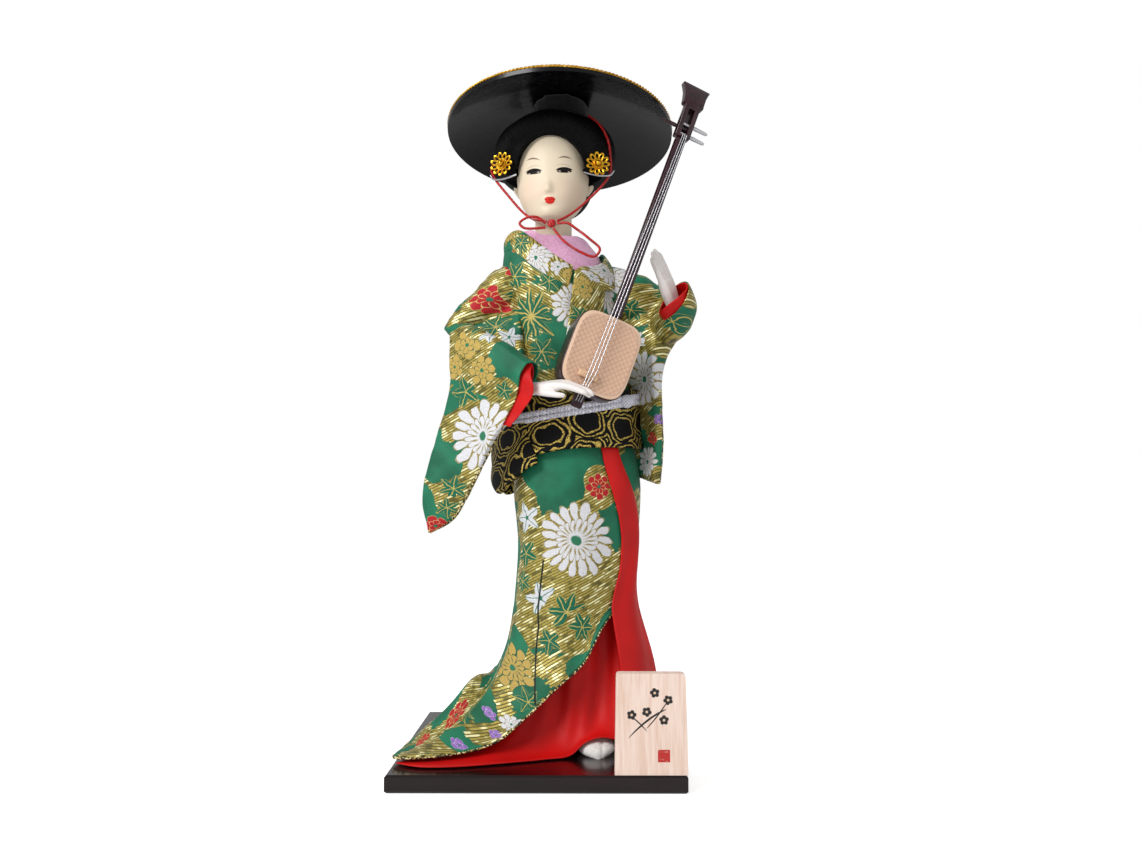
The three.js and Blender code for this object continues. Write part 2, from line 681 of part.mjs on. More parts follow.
const leftEdges = {
  top: curve(V(36, 6, 72), V(50, 0, 68), V(63, -5, 60)),
  front: curve(V(63, -5, 60), V(58, -5, 46), V(56.5, -5, 34), V(58, -5, 18), V(55.3, -5, -12)),
  bottom: curve(V(42.5, -16, -7), V(49, -10.5, -10), V(55.3, -5, -12)),
  back: curve(V(36, 6, 72), V(44.5, 0, 48), V(44, -8, 33), V(42.5, -16, -7)),
};
const leftThick = (s, t) => 4 + 9 * Math.exp(-(((t - 0.08) / 0.2) ** 2));
const leftFold = (s, t) => 1.2 * Math.sin(5 * s + 3 * t) * ease(0.25, 1, t);
const leftBag = bagFaces(leftEdges, [0.94, -0.34], leftThick, leftFold);

const bodiceKeepOff = bodySolid(0, 97, CLOTH + GAP + 0.1, 8, 28);
const collarKeepOff = bodySolid(85, 104, CLOTH + 2 * GAP + 2, 6, 28);
const sashKeepOff = bodySolid(-20, 36, SASH_OUT + GAP + 2.8, 6, 28);
const rightUpper = limb(
  [V(-6, -4, 79), V(-15, -7, 78), V(-24, -10, 70.5), V(-33, -13, 63.5), V(-39, -14, 58.5), V(-41.5, -14.5, 55.5)],
  [10, 10.5, 9.2, 7.6, 5.6, 3.5], 10);
const webUpper = curve(V(-40, -13.5, 59.5), V(-26, -12, 68), V(-9, -9.5, 77));
const webLower = curve(V(-40, -14.5, 56), V(-25, -23, 50), V(-8, -29, 42));
const webFace = (side) => (s, t) => {
  const p = webUpper(s).lerp(webLower(s), t);
  const swell = 2.6 * Math.sin(Math.PI * t) * ease(0, 0.4, s) + 0.8 * Math.sin(9 * t) * s;
  return p.addScaledVector(V(-0.21, -0.84, 0.5), side * 2.4 + swell);
};
const rightWeb = between(webFace(1), webFace(-1), 5, 4);
const leftUpper = limb(
  [V(18, 9, 80), V(31, 6, 77), V(46, 2, 69.5), V(56, -2, 65), V(62, -4.5, 63), V(65.2, -7.5, 65), V(64.5, -10.5, 69.5), V(62.6, -12.8, 73.5)],
  [11.5, 12.8, 13, 11.5, 10, 9.4, 9.2, 9.2], 12);

const rightCuffFace = (side) => (s, t) => rightBag(side, -1.3, 0.805, 1.06)(s, mix(0.03, 0.97, t));
const rightCuffBody = between(rightCuffFace(1), rightCuffFace(-1), 3, 7);
const rightCuffRoom = between(rightBag(1, -0.85, 0.775, 1.09), rightBag(-1, -0.85, 0.775, 1.09), 3, 7);
const cuffPath = [V(65.4, -7.2, 64.5), V(64.5, -10.5, 69.5), V(62.4, -13, 74), V(61.6, -13.9, 75.6)];
const leftCuffBody = limb(cuffPath, [5.4, 6.8, 7.6, 7.7], 12);
const leftCuffRoom = limb([...cuffPath.slice(0, 3), V(59.4, -16.4, 80)], [5.75, 7.15, 7.95, 8.1], 12);

// The wrists go into the cuffs
const handRoom = [
  limb([V(-12, -35.4, 34), V(-4, -41.5, 29), V(10, -50, 22)], [3.4, 3.4, 3.4], 10),
  limb([V(63.6, -10, 67), V(61.5, -12.5, 71), V(57, -15.5, 81)], [4.5, 5.1, 5.2], 10),
];
const rightSleeve = cut(
  join(between(rightBag(1, 0), rightBag(-1, 0), 7, 9), rightUpper, rightWeb),
  bodiceKeepOff, collarKeepOff, armBores[0], rightCuffRoom);
add(figure, 'right_sleeve', rightSleeve, BROCADE);
add(figure, 'right_cuff', cut(rightCuffBody, armBores[0], handRoom[0]), RED);
const leftSleeve = cut(
  join(between(leftBag(1, 0), leftBag(-1, 0), 5, 9), leftUpper),
  bodiceKeepOff, collarKeepOff, sashKeepOff, armBores[1], leftCuffRoom);
add(figure, 'left_sleeve', leftSleeve, BROCADE);
add(figure, 'left_cuff', cut(leftCuffBody, armBores[1], handRoom[1]), RED);

// Hands: x along the fingers, y across from thumb to little finger, z out of the back of the hand
function hand(curl, spread) {
  const palm = limb(
    [V(0, 0, 0), V(3, 0, 0), V(7, 0, 0), V(11.5, 0, 0), V(13.5, 0, 0)], [2.2, 2.5, 3.9, 4.5, 3.6], 10);
  palm.scale(1, 1, 0.55);
  const parts = [palm];
  [[-3.2, 23], [-1.1, 25], [1.1, 24.2], [3.1, 21.5]].forEach(([y, reach], i) => {
    const bend = curl * (1 + 0.15 * i);
    parts.push(limb([
      V(10, y * 0.95, 0),
      V(mix(10, reach, 0.5), y + spread * y * 0.2, -bend * 0.4),
      V(reach - 0.9, y + spread * y * 0.35, -bend * 1.1),
      V(reach, y + spread * y * 0.38, -bend * 1.35),
    ], [1.35, 1.3, 1.05, 0.45], 6));
  });
  parts.push(limb([V(3.5, -2.2, -0.6), V(8.5, -5.6, -1.8), V(13, -6.2, -2.8), V(14.4, -6, -3.1)], [1.6, 1.5, 1.1, 0.5], 6));
  return join(...parts);
}
function placeHand(geometry, wrist, tip, back) {
  const x = tip.clone().sub(wrist).normalize();
  const z = back.clone().addScaledVector(x, -back.dot(x)).normalize();
  const y = z.clone().cross(x);
  geometry.applyMatrix4(new THREE.Matrix4().makeBasis(x, y, z).setPosition(wrist));
  return geometry;
}
const rightWrist = V(-3.3, -42, 28.4);
const leftWrist = V(60.9, -13, 72);
add(figure, 'right_hand', placeHand(hand(1.2, 0.2), rightWrist, V(21.5, -51, 24), V(-0.15, -0.6, 0.9)), HAND);
add(figure, 'left_hand', placeHand(hand(2.2, 0.1), leftWrist, V(51.5, -17.5, 92), V(0.9, -0.25, 0.35)), HAND);

// Head, hair and ornaments turn together on the neck peg
const headGroup = new THREE.Group();
headGroup.position.x = NECK_X;
headGroup.rotation.z = HEAD_TURN * D;
figure.add(headGroup);
const NECK_LOW = 85.5;
function headBody(grow) {
  const rings = HEAD.map(([z, y, w, d], i) => {
    const end = i === 0 ? -grow : (i === HEAD.length - 1 ? grow : 0);
    return ellipse(0, y, w + grow, d + grow, z + end, 16);
  });
  return skin(rings);
}
function neckBody(grow) {
  return lathe([
    [0, NECK_LOW - 16],
    [NECK_PEG, NECK_LOW - 16],
    [NECK_PEG, NECK_LOW],
    [NECK_RADIUS + grow, NECK_LOW],
    [NECK_RADIUS - 0.5 + grow, 110],
    [NECK_RADIUS - 0.5 + grow, 118],
    [0, 118],
  ], 16);
}
const nose = limb([V(0, -17.4, 127), V(0, -18.9, 122.5), V(0, -19.6, 120.4), V(0, -18, 118.4)], [0.7, 1.3, 1.7, 1.1], 8);
const ear = (side) => limb([V(side * 15.6, -0.5, 124), V(side * 16.8, 0.2, 127.5), V(side * 16.4, 0.5, 130)], [1.6, 2.1, 1.5], 8);
add(headGroup, 'head', join(headBody(0), neckBody(0), nose, ear(-1), ear(1)), FACE);

const crown = (g) => blob(CROWN, g, 20, 8);
const nape = (g) => blob({ x: 0, y: 8, z: 135, rx: 18.5, ry: 16, rz: 21, round: 0.9 }, g, 14, 6);
const bun = (g) => blob({ x: 0, y: 23, z: 147, rx: 12, ry: 9, rz: 9, round: 1 }, g, 10, 5);
const windowRings = [-44, -5].map((y) => {
  const ring = [];
  for (let k = 0; k < 20; k += 1) {
    const a = (2 * Math.PI * k) / 20;
    const high = Math.cos(a) > 0 ? 20.5 : 34;
    ring.push(V(17.2 * Math.sin(a), y, 127 + high * Math.cos(a)));
  }
  return ring;
});
const below = new THREE.BoxGeometry(90, 30, 40);
below.translate(0, -17.5, 131 - 20);
const hairTools = [skin(windowRings), below, headBody(GAP), neckBody(GAP), ...[-1, 1].map((s) => {
  const e = ear(s);
  e.translate(-s * 16.2, 0, -127.2);
  e.scale(1.35, 1.35, 1.35);
  e.translate(s * 16.2, 0, 127.2);
  return e;
})];
add(headGroup, 'hair', cut(join(crown(0), nape(0), bun(0)), ...hairTools), HAIR);

// Where the front of the hair stands at a place seen from the front
function hairFront(x, z, grow = 0) {
  const k = 2 / CROWN.round;
  const left = 1 - Math.abs((x - CROWN.x) / (CROWN.rx + grow)) ** k
    - Math.abs((z - CROWN.z) / (CROWN.rz + grow)) ** k;
  return CROWN.y - (CROWN.ry + grow) * Math.max(0, left) ** (1 / k);
}
function flower() {
  const shape = new THREE.Shape();
  const n = 36;
  for (let k = 0; k < n; k += 1) {
    const a = (2 * Math.PI * k) / n;
    const r = FLOWER_RADIUS * (0.86 + 0.14 * Math.abs(Math.cos(6 * a)));
    if (k === 0) shape.moveTo(r, 0);
    else shape.lineTo(r * Math.cos(a), r * Math.sin(a));
  }
  shape.closePath();
  const disc = new THREE.ExtrudeGeometry(shape, { depth: 1.1, bevelEnabled: false });
  const dome = lathe([[0, 0.2], [2.3, 0.2], [2.3, 1.4], [1.6, 2.2], [0, 2.6]], 16);
  const body = join(disc, dome);
  body.rotateX(Math.PI / 2);
  return body;
}
[[-1, 'right'], [1, 'left']].forEach(([side, label]) => {
  const x = 22.2 * side;
  const z = side > 0 ? 133.6 : 135;
  const body = flower();
  body.rotateZ(0.3 * side);
  const inner = x - side * 3;
  const y = hairFront(inner, z, 2 * GAP);
  body.translate(x, y, z);
  add(headGroup, `${label}_flower`, body, GILT);
  const pinPoints = [
    V(side * 15.6, -13.2, 130.3),
    V(side * 18.6, -12.4, 129.6),
    V(side * 24, -9.6, 129.4),
    V(side * 27.5, -7.6, 130.4),
    V(side * 29, -6.6, 132.6),
  ];
  add(headGroup, `${label}_pin`, cord(pinPoints, 0.45, 7, 5), STEEL);
});

// Tie cord of the hat: down both cheeks to a knot under the chin
const onHair = (x, z) => V(x, hairFront(x, z, CORD + 2 * GAP), z);
const rightStrand = [
  onHair(17.5, HAT_HEIGHT + 3), onHair(22.5, 153.5), onHair(26.2, 147), onHair(27.4, 140), V(27, -6.6, 131),
  V(15.4, -11.8, 115.8), V(8, -17.5, 108.3), V(4.4, -20.3, 105.8),
];
const leftStrand = [
  onHair(-17, HAT_HEIGHT + 3), onHair(-22.4, 153), onHair(-26.8, 142), V(-27, -6.6, 131), V(-21, -9.8, 122.8),
  V(-8.6, -17.6, 108.6), V(-0.6, -20.3, 105.8),
];
add(headGroup, 'cord_left', cord(rightStrand, CORD, 18, 5), RED);
add(headGroup, 'cord_right', cord(leftStrand, CORD, 16, 5), RED);
add(headGroup, 'cord_knot', blob({ x: 1.9, y: -21, z: 104.6, rx: 1.6, ry: 1.4, rz: 1.6, round: 0.9 }, 0, 10, 5), RED);
const leftBow = [
  V(-0.8, -21.2, 104.6), V(-4.5, -22.6, 107.2), V(-9, -23, 107), V(-12.4, -22.8, 104.6), V(-10.5, -23, 102.4),
  V(-5, -22.8, 102), V(-0.9, -21.8, 102.6),
];
const rightBow = [
  V(4.6, -21.4, 104.4), V(9, -22.2, 104.2), V(13.5, -23, 101), V(19, -24.4, 96.3), V(24, -25.2, 91),
  V(21.5, -26.2, 87.6), V(15, -26.4, 90), V(8, -25, 95.2), V(2.9, -22.6, 101.7),
];
add(headGroup, 'bow_left', cord(rightBow, CORD, 20, 5), RED);
add(headGroup, 'bow_right', cord(leftBow, CORD, 13, 5), RED);

// Hat: a shallow lacquered dish with a braid on its rim and a ring that rests on the hair
const hatGroup = new THREE.Group();
hatGroup.position.set(2.4, 5, HAT_HEIGHT);
hatGroup.rotation.x = HAT_TILT * D;
headGroup.add(hatGroup);
const dish = (r) => HAT_RISE * (1 - (r / HAT_RADIUS) ** 2.2);
const outerRadii = [0, 0.2, 0.4, 0.6, 0.78, 0.9, 0.97, 1].map((k) => k * HAT_RADIUS);
const hatProfile = outerRadii.map((r) => [r, dish(r)]);
const innerRadii = [1, 0.965, 0.88, 0.74, 0.55, 0.3, 0].map((k) => k * (HAT_RADIUS - 0.2));
const underside = innerRadii.map((r) => [r, dish(r) - HAT_WALL - 0.3 * ease(0.9, 1, r / HAT_RADIUS)]);
add(hatGroup, 'hat', lathe([...hatProfile, ...underside].reverse(), 32), LACQUER);
const braid = new THREE.TorusGeometry(HAT_RADIUS + BRAID + GAP, BRAID, 4, 40);
braid.translate(0, 0, -HAT_WALL / 2);
add(hatGroup, 'hat_braid', braid, GILT);
const seat = lathe([[11, -20], [13.5, -20], [13.5, 30], [11, 30], [11, -20]], 16);
const hatRoom = lathe([[0, 40], [60, 40], [60, -HAT_WALL - 1], ...innerRadii.map((r) => [r, dish(r) - HAT_WALL - GAP])].reverse(), 32);
const crownRoom = blob(CROWN, 2 * GAP, 20, 8);
crownRoom.translate(-2.4, -5, -HAT_HEIGHT);
crownRoom.rotateX(-HAT_TILT * D);
const seatKeep = new THREE.BoxGeometry(80, 80, 80);
seatKeep.translate(0, 0, -40 - 1);
add(hatGroup, 'hat_seat', cut(seat, hatRoom, crownRoom, seatKeep), SASH);

// Shamisen: x across the skin, -y out of it, z toward the pegs
const lute = new THREE.Group();
const [chestX, chestA, chestB] = along(BODY, LUTE_HEIGHT);
const offTurn = (LUTE_TURN - BODY_TURN) * D;
const bandLift = SASH_OUT + 2 * GAP + 0.7;
const chest = Math.hypot((chestA + bandLift) * Math.sin(offTurn), (chestB + bandLift) * Math.cos(offTurn));
const outBy = chest + GAP + LUTE_DEPTH;
lute.position.set(
  chestX + outBy * Math.sin(LUTE_TURN * D) + LUTE_SHIFT * Math.cos(LUTE_TURN * D),
  -outBy * Math.cos(LUTE_TURN * D) + LUTE_SHIFT * Math.sin(LUTE_TURN * D),
  LUTE_HEIGHT,
);
lute.rotation.set(0, LUTE_LEAN * D, LUTE_TURN * D, 'ZYX');
figure.add(lute);
function boxShape(inset) {
  const shape = new THREE.Shape();
  const n = 36;
  const power = (s) => Math.sign(s) * Math.abs(s) ** 0.47;
  for (let k = 0; k < n; k += 1) {
    const a = (2 * Math.PI * k) / n;
    const x = (LUTE_WIDTH / 2 - inset) * power(Math.cos(a));
    const z = (LUTE_LENGTH / 2 - inset) * power(Math.sin(a));
    if (k === 0) shape.moveTo(x, z);
    else shape.lineTo(x, z);
  }
  shape.closePath();
  return shape;
}
function slab(inset, front, depth) {
  const body = new THREE.ExtrudeGeometry(boxShape(inset), { depth, bevelEnabled: false });
  body.rotateX(Math.PI / 2);
  body.translate(0, front + depth, 0);
  return body;
}
const wallDepth = LUTE_DEPTH - 2 * SKIN - 2 * 0.2;
add(lute, 'lute_frame', cut(slab(0, SKIN + 0.2, wallDepth), slab(LUTE_WALL, -1, LUTE_DEPTH + 2)), LUTE);
add(lute, 'lute_skin_front', slab(0.4, 0, SKIN), HIDE);
add(lute, 'lute_skin_back', slab(0.4, LUTE_DEPTH - SKIN, SKIN), HIDE);
function bar(wide, deep, low, high, front) {
  const body = new THREE.BoxGeometry(wide, deep, high - low);
  body.translate(0, front + deep / 2, (low + high) / 2);
  return body;
}
const neckLow = LUTE_LENGTH / 2 + GAP;
const neckRings = [[neckLow, 2.1, 2.5], [LUTE_NECK_TOP - 20, 1.8, 2.2], [LUTE_NECK_TOP, 1.8, 2.2]].map(([z, w, d]) => {
  const ring = [];
  for (let k = 0; k < 12; k += 1) {
    const a = (2 * Math.PI * k) / 12;
    const y = -Math.cos(a);
    ring.push(V(w * Math.sin(a), y < -0.4 ? -0.6 : -0.6 + d * (y + 0.4) * 1.3, z));
  }
  return ring;
});
add(lute, 'lute_neck', skin(neckRings), LUTE);
const pegBox = bar(4.6, 5, LUTE_NECK_TOP + GAP, LUTE_TOP - 15, -0.6);
const headRings = [[LUTE_TOP - 17, 2.3, 0], [LUTE_TOP - 14, 3.4, 0.6], [LUTE_TOP - 7, 4.4, 2.4], [LUTE_TOP, 6, 5.6]].map(([z, w, back]) => (
  [V(-w, back - 0.6, z), V(w, back - 0.6, z), V(w, back + 4, z), V(-w, back + 4, z)]));
const slot = bar(1.6, 4, LUTE_NECK_TOP + 1.6, LUTE_TOP - 18, -1.6);
const pegs = [
  ['peg_lower', 1, LUTE_NECK_TOP + 2.6],
  ['peg_middle', -1, LUTE_NECK_TOP + 5],
  ['peg_upper', 1, LUTE_NECK_TOP + 7.4],
];
const pegBar = (side, z, grow) => limb(
  [V(side * -2.9, 1.6, z), V(side * 2.9, 1.6, z), V(side * 4.2, 1.6, z), V(side * 9.5, 1.6, z), V(side * 11, 1.6, z)],
  [0.7, 0.7, 1.1, 0.9, 0.5].map((r) => r + grow), 8);
const pegHole = (side, z) => limb([V(-8, 1.6, z), V(8, 1.6, z)], [0.7 + GAP, 0.7 + GAP], 8);
add(lute, 'lute_head', cut(join(pegBox, skin(headRings)), slot, ...pegs.map(([, side, z]) => pegHole(side, z))), LUTE);
pegs.forEach(([name, side, z]) => add(lute, name, pegBar(side, z, 0), STEEL));
const bridgeLow = -LUTE_LENGTH / 2 + 9;
const bridge = new THREE.BoxGeometry(8, 1.8, 1.3);
bridge.translate(0, -0.9 - GAP, bridgeLow);
add(lute, 'lute_bridge', bridge, HIDE);
const tailTop = -LUTE_LENGTH / 2 + 1.5;
const tailRings = [[tailTop, 2.2], [tailTop - 3.4, 1.6]].map(([z, w]) => (
  [V(-w, -1.3 - GAP, z), V(w, -1.3 - GAP, z), V(w, -GAP, z), V(-w, -GAP, z)]));
add(lute, 'lute_tailpiece', skin(tailRings), LUTE);
[['string_low', -1], ['string_middle', 0], ['string_high', 1]].forEach(([name, side]) => {
  const over = STRING + GAP * 0.5;
  const points = [
    V(side * 1.1, -1.3 - GAP - over, tailTop - 1),
    V(side * 1.1, -1.3 - GAP - over, tailTop + 0.4),
    V(side * 1.6, -1.8 - GAP - over, bridgeLow - 1.2),
    V(side * 1.6, -1.8 - GAP - over, bridgeLow + 1.2),
    V(side * 1, -0.6 - GAP - over, LUTE_NECK_TOP - 2),
    V(side * 0.9, -0.6 - GAP - over, LUTE_NECK_TOP + 1.4),
  ];
  add(lute, name, limb(points, points.map(() => STRING), 6), STEEL);
});

// Plaque, loose on the front right corner
const plaqueShape = new THREE.Shape();
const corner = 1.6;
const low = PLAQUE_WIDTH / 2;
const high = PLAQUE_TOP_WIDTH / 2;
plaqueShape.moveTo(-low, 0);
plaqueShape.lineTo(low, 0);
plaqueShape.lineTo(high, PLAQUE_HEIGHT - corner);
plaqueShape.quadraticCurveTo(high, PLAQUE_HEIGHT, high - corner, PLAQUE_HEIGHT);
plaqueShape.lineTo(corner - high, PLAQUE_HEIGHT);
plaqueShape.quadraticCurveTo(-high, PLAQUE_HEIGHT, -high, PLAQUE_HEIGHT - corner);
plaqueShape.closePath();
const plaque = new THREE.ExtrudeGeometry(plaqueShape, { depth: PLAQUE_THICKNESS, bevelEnabled: false, curveSegments: 5 });
plaque.rotateX(Math.PI / 2);
plaque.translate(BASE_WIDTH / 2 - low + 0.1, -BASE_DEPTH / 2 + PLAQUE_THICKNESS + 0.8, BASE_THICKNESS);
add(whole, 'plaque', plaque, WOOD);

export default whole;
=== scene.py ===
# %% [markdown]
# # A kimono doll with a shamisen
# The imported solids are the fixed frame: a board, a padded body and stiff shells where the cloth is.
# This lesson dresses that frame. Cloth is drawn with the same curves as the solids but with more
# folds, hard pieces are modelled from primitives, and every finish is made from shader nodes.

# %% Start
import math

import bmesh
import bpy
from mathutils import Matrix, Vector, noise


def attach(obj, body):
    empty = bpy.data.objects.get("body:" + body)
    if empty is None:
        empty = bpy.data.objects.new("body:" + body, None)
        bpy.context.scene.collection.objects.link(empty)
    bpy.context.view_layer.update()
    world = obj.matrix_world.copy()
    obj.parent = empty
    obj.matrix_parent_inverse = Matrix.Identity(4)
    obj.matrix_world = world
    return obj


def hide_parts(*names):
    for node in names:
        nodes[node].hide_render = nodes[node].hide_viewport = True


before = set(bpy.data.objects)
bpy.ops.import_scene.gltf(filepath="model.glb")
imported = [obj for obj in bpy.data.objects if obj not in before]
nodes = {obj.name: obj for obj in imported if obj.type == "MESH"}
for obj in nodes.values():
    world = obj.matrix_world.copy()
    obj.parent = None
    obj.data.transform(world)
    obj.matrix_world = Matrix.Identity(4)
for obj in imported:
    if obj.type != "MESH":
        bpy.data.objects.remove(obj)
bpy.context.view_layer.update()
MM = 0.001
WAIST = 135.0            # the waist above the floor, in millimetres

# %% [markdown]
# ## Measures
# The clothes follow tables of rows, as a tailor's measures do: a height and the half widths there.
# A smooth reading between the rows gives a body that swells and narrows without a kink.
# Everything is in millimetres above the waist here, and becomes metres when a mesh is made.

# %% Measures of the dressed body
GAP = 0.3                # between pieces that lie on each other
CLOTH = 1.4              # from the body out to the silk
SILK, LINING, SASH, SLEEVE = 1.1, 0.8, 2.0, 0.6    # how thick each kind of cloth is
BODY_TURN = math.radians(25)    # the chest turns to the viewer's right
SHOULDER_TILT = 0.18     # and the shoulder there is the lower one
SKIRT_TOP = 5.0
KNEE = 66.0
AXIS_X = 17.0
FLOOR = -128.0           # top of the board
NECK_X = 5.2
HEAD_TURN = math.radians(-6)
NECK_RADIUS = 9.0

# height, middle, half width, half depth
BODY = [
    [-68, 15.2, 26.2, 20], [-40, 16.9, 26, 20], [-14, 16.6, 28, 20.5], [0, 16.3, 26.5, 19],
    [14, 15.4, 24.5, 17.5], [30, 14.4, 24.5, 17.5], [52, 12.4, 25.8, 18.5], [76, 9.6, 26.5, 17.5],
    [90, 7.8, 24, 16], [98, 6.6, 21, 14.5], [106, 5.4, 13.5, 12],
]
# turn in degrees, how far out the hem lies, how high it is lifted
HEM = [
    [-180, 52, 1.6], [-150, 58, 1.6], [-116, 66, 1.6], [-92, 71, 1.6], [-76, 76, 1.6],
    [-67, 83, 1.6], [-60, 89, 1.6], [-54, 78, 2], [-46, 60, 4], [-39, 51.5, 8], [-31, 44, 16],
    [-17, 34, 27], [6, 26.5, 38], [24, 23.2, 50], [42, 22.2, 57], [60, 23.4, 59.5],
    [90, 25.8, 59.5], [112, 28, 54], [132, 36, 30], [155, 47, 5], [180, 52, 1.6],
]


def mix(a, b, t):
    return a + (b - a) * t


def clamp(x, a, b):
    return min(b, max(a, x))


def ease(a, b, x):
    t = clamp((x - a) / (b - a), 0, 1)
    return t * t * (3 - 2 * t)


def bell(x, middle, width):
    return math.exp(-(((x - middle) / width) ** 2))


def along(rows, x):
    """Smooth reading between the rows of a table."""
    i = 0
    while i < len(rows) - 2 and x > rows[i + 1][0]:
        i += 1
    p, q = rows[i], rows[i + 1]
    o, r = rows[max(0, i - 1)], rows[min(len(rows) - 1, i + 2)]
    span = q[0] - p[0]
    t = clamp((x - p[0]) / span, 0, 1)
    s, k = t * t, t * t * t
    out = []
    for c in range(1, len(p)):
        a = (q[c] - o[c]) / (q[0] - o[0]) * span
        b = (r[c] - p[c]) / (r[0] - p[0]) * span
        out.append(p[c] * (2 * k - 3 * s + 1) + a * (k - 2 * s + t) + q[c] * (3 * s - 2 * k) + b * (k - s))
    return out


def body_point(q, t, grow):
    """A point on the dressed body: q turns from the chest toward the viewer's right."""
    cx, a, b = along(BODY, t)
    x = (a + grow) * math.sin(q)
    y = -(b + grow) * math.cos(q)
    lift = -SHOULDER_TILT * ease(40, 95, t) * x
    c, s = math.cos(BODY_TURN), math.sin(BODY_TURN)
    return Vector((cx + x * c - y * s, x * s + y * c, t + lift))


print("half width and depth at the waist:", along(BODY, 0)[1:])

# %% [markdown]
# ## Routes
# Cords, hems and sleeve edges run along smooth routes through a few points.
# A centripetal spline never loops between close points, and reading it by length spaces a pattern evenly.

# %% Smooth routes
class Route:
    def __init__(self, *points):
        self.points = [Vector(p) for p in points]
        self.marks = [self.point(i / 200) for i in range(201)]
        self.lengths = [0.0]
        for a, b in zip(self.marks, self.marks[1:]):
            self.lengths.append(self.lengths[-1] + (b - a).length)
        self.length = self.lengths[-1]

    def point(self, t):
        pts = self.points
        at = clamp(t, 0, 1) * (len(pts) - 1)
        i = min(int(at), len(pts) - 2)
        w = at - i
        p1, p2 = pts[i], pts[i + 1]
        p0 = pts[i - 1] if i > 0 else 2 * p1 - p2
        p3 = pts[i + 2] if i + 2 < len(pts) else 2 * p2 - p1
        d0, d1, d2 = (max((b - a).length ** 0.5, 1e-4) for a, b in ((p0, p1), (p1, p2), (p2, p3)))
        m1 = ((p1 - p0) / d0 - (p2 - p0) / (d0 + d1) + (p2 - p1) / d1) * d1
        m2 = ((p2 - p1) / d1 - (p3 - p1) / (d1 + d2) + (p3 - p2) / d2) * d1
        s, k = w * w, w * w * w
        return p1 * (2 * k - 3 * s + 1) + m1 * (k - 2 * s + w) + p2 * (3 * s - 2 * k) + m2 * (k - s)

    def at(self, t):
        """The point at that share of the length."""
        want = clamp(t, 0, 1) * self.length
        i = 0
        while i < 199 and self.lengths[i + 1] < want:
            i += 1
        step = self.lengths[i + 1] - self.lengths[i]
        return self.marks[i].lerp(self.marks[i + 1], (want - self.lengths[i]) / max(step, 1e-9))

    def spaced(self, steps):
        return [self.at(i / steps) for i in range(steps + 1)]


print("a route of 10 mm is measured as", Route((0, 0, 0), (10, 0, 0)).length)

# %% [markdown]
# ## Making pieces
# A sheet of cloth is a grid whose points a function places. Its UV map holds real lengths along the
# cloth, so a woven pattern keeps its size wherever the cloth spreads or narrows.
# A finished piece has its place in its mesh, rides on one body of the frame and stands for its solids.

# %% Helpers for meshes
UV_UNIT = 0.01           # one unit of the UV map is 100 mm of cloth
UV_METRE = 10            # and a metre of cloth is 10 units
SEAM = 1e-6              # points nearer than this, in metres, are one point
pieces_made = {}


def deselect():
    if bpy.context.mode != "OBJECT":
        bpy.ops.object.mode_set(mode="OBJECT")
    bpy.ops.object.select_all(action="DESELECT")


def make_active(obj):
    deselect()
    obj.select_set(True)
    bpy.context.view_layer.objects.active = obj


def modify(obj, kind, **settings):
    """Adds a modifier with these settings and applies it."""
    modifier = obj.modifiers.new(kind.lower(), kind)
    for key, value in settings.items():
        setattr(modifier, key, value)
    make_active(obj)
    bpy.ops.object.modifier_apply(modifier=modifier.name)
    return obj


def link(name, data):
    """A new object in the scene."""
    obj = bpy.data.objects.new(name, data)
    bpy.context.scene.collection.objects.link(obj)
    return obj


def to_frame(p):
    """Millimetres above the waist to metres above the floor."""
    return Vector((p[0] * MM, p[1] * MM, (p[2] + WAIST) * MM))


def finish_piece(obj, name, finish, body, slot, stands_for, angle=None):
    obj.name = name
    obj.data.name = name
    if finish is not None:
        obj.data.materials.clear()
        obj.data.materials.append(finish)
    make_active(obj)
    if angle is None:
        bpy.ops.object.shade_smooth()
    else:
        bpy.ops.object.shade_smooth_by_angle(angle=math.radians(angle))
    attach(obj, body)
    if stands_for:
        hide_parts(*stands_for)
    pieces_made[name] = len(obj.data.polygons)
    print(name, "has", pieces_made[name], "faces")
    return obj


def cloth_grid(name, face, nu, nv, start=0.0, loop=False, flip=False):
    """A sheet of cloth: face(u, v) gives its points; UV lengths are counted from the column at start."""
    grid = [[Vector(face(i / nu, j / nv)) for j in range(nv + 1)] for i in range(nu + 1)]
    if loop:
        grid[nu] = grid[0]
    across = [[0.0] * (nv + 1) for _ in range(nu + 1)]
    down = [[0.0] * (nv + 1) for _ in range(nu + 1)]
    for i in range(nu + 1):
        for j in range(nv + 1):
            if i:
                across[i][j] = across[i - 1][j] + (grid[i][j] - grid[i - 1][j]).length
            if j:
                down[i][j] = down[i][j - 1] + (grid[i][j] - grid[i][j - 1]).length
    first = round(start * nu)
    zero = [across[first][j] for j in range(nv + 1)]
    spots, faces, uvs = [], [], []
    for column in grid:
        spots.extend(to_frame(p) for p in column)
    for i in range(nu):
        for j in range(nv):
            ring = [(i, j), (i + 1, j), (i + 1, j + 1), (i, j + 1)]
            if flip:
                ring.reverse()
            faces.append([a * (nv + 1) + b for a, b in ring])
            uvs.extend(((across[a][b] - zero[b]) * UV_UNIT, -down[a][b] * UV_UNIT) for a, b in ring)
    mesh = bpy.data.meshes.new(name)
    mesh.from_pydata(spots, [], faces)
    layer = mesh.uv_layers.new(name="cloth")
    for k, uv in enumerate(uvs):
        layer.data[k].uv = uv
    obj = link(name, mesh)
    obj["cloth_length"] = sum(column[nv] for column in down) / (nu + 1) * MM
    if loop:
        edit(obj)
        bpy.ops.mesh.select_all(action="SELECT")
        bpy.ops.mesh.remove_doubles(threshold=SEAM)
        bpy.ops.object.mode_set(mode="OBJECT")
    return obj


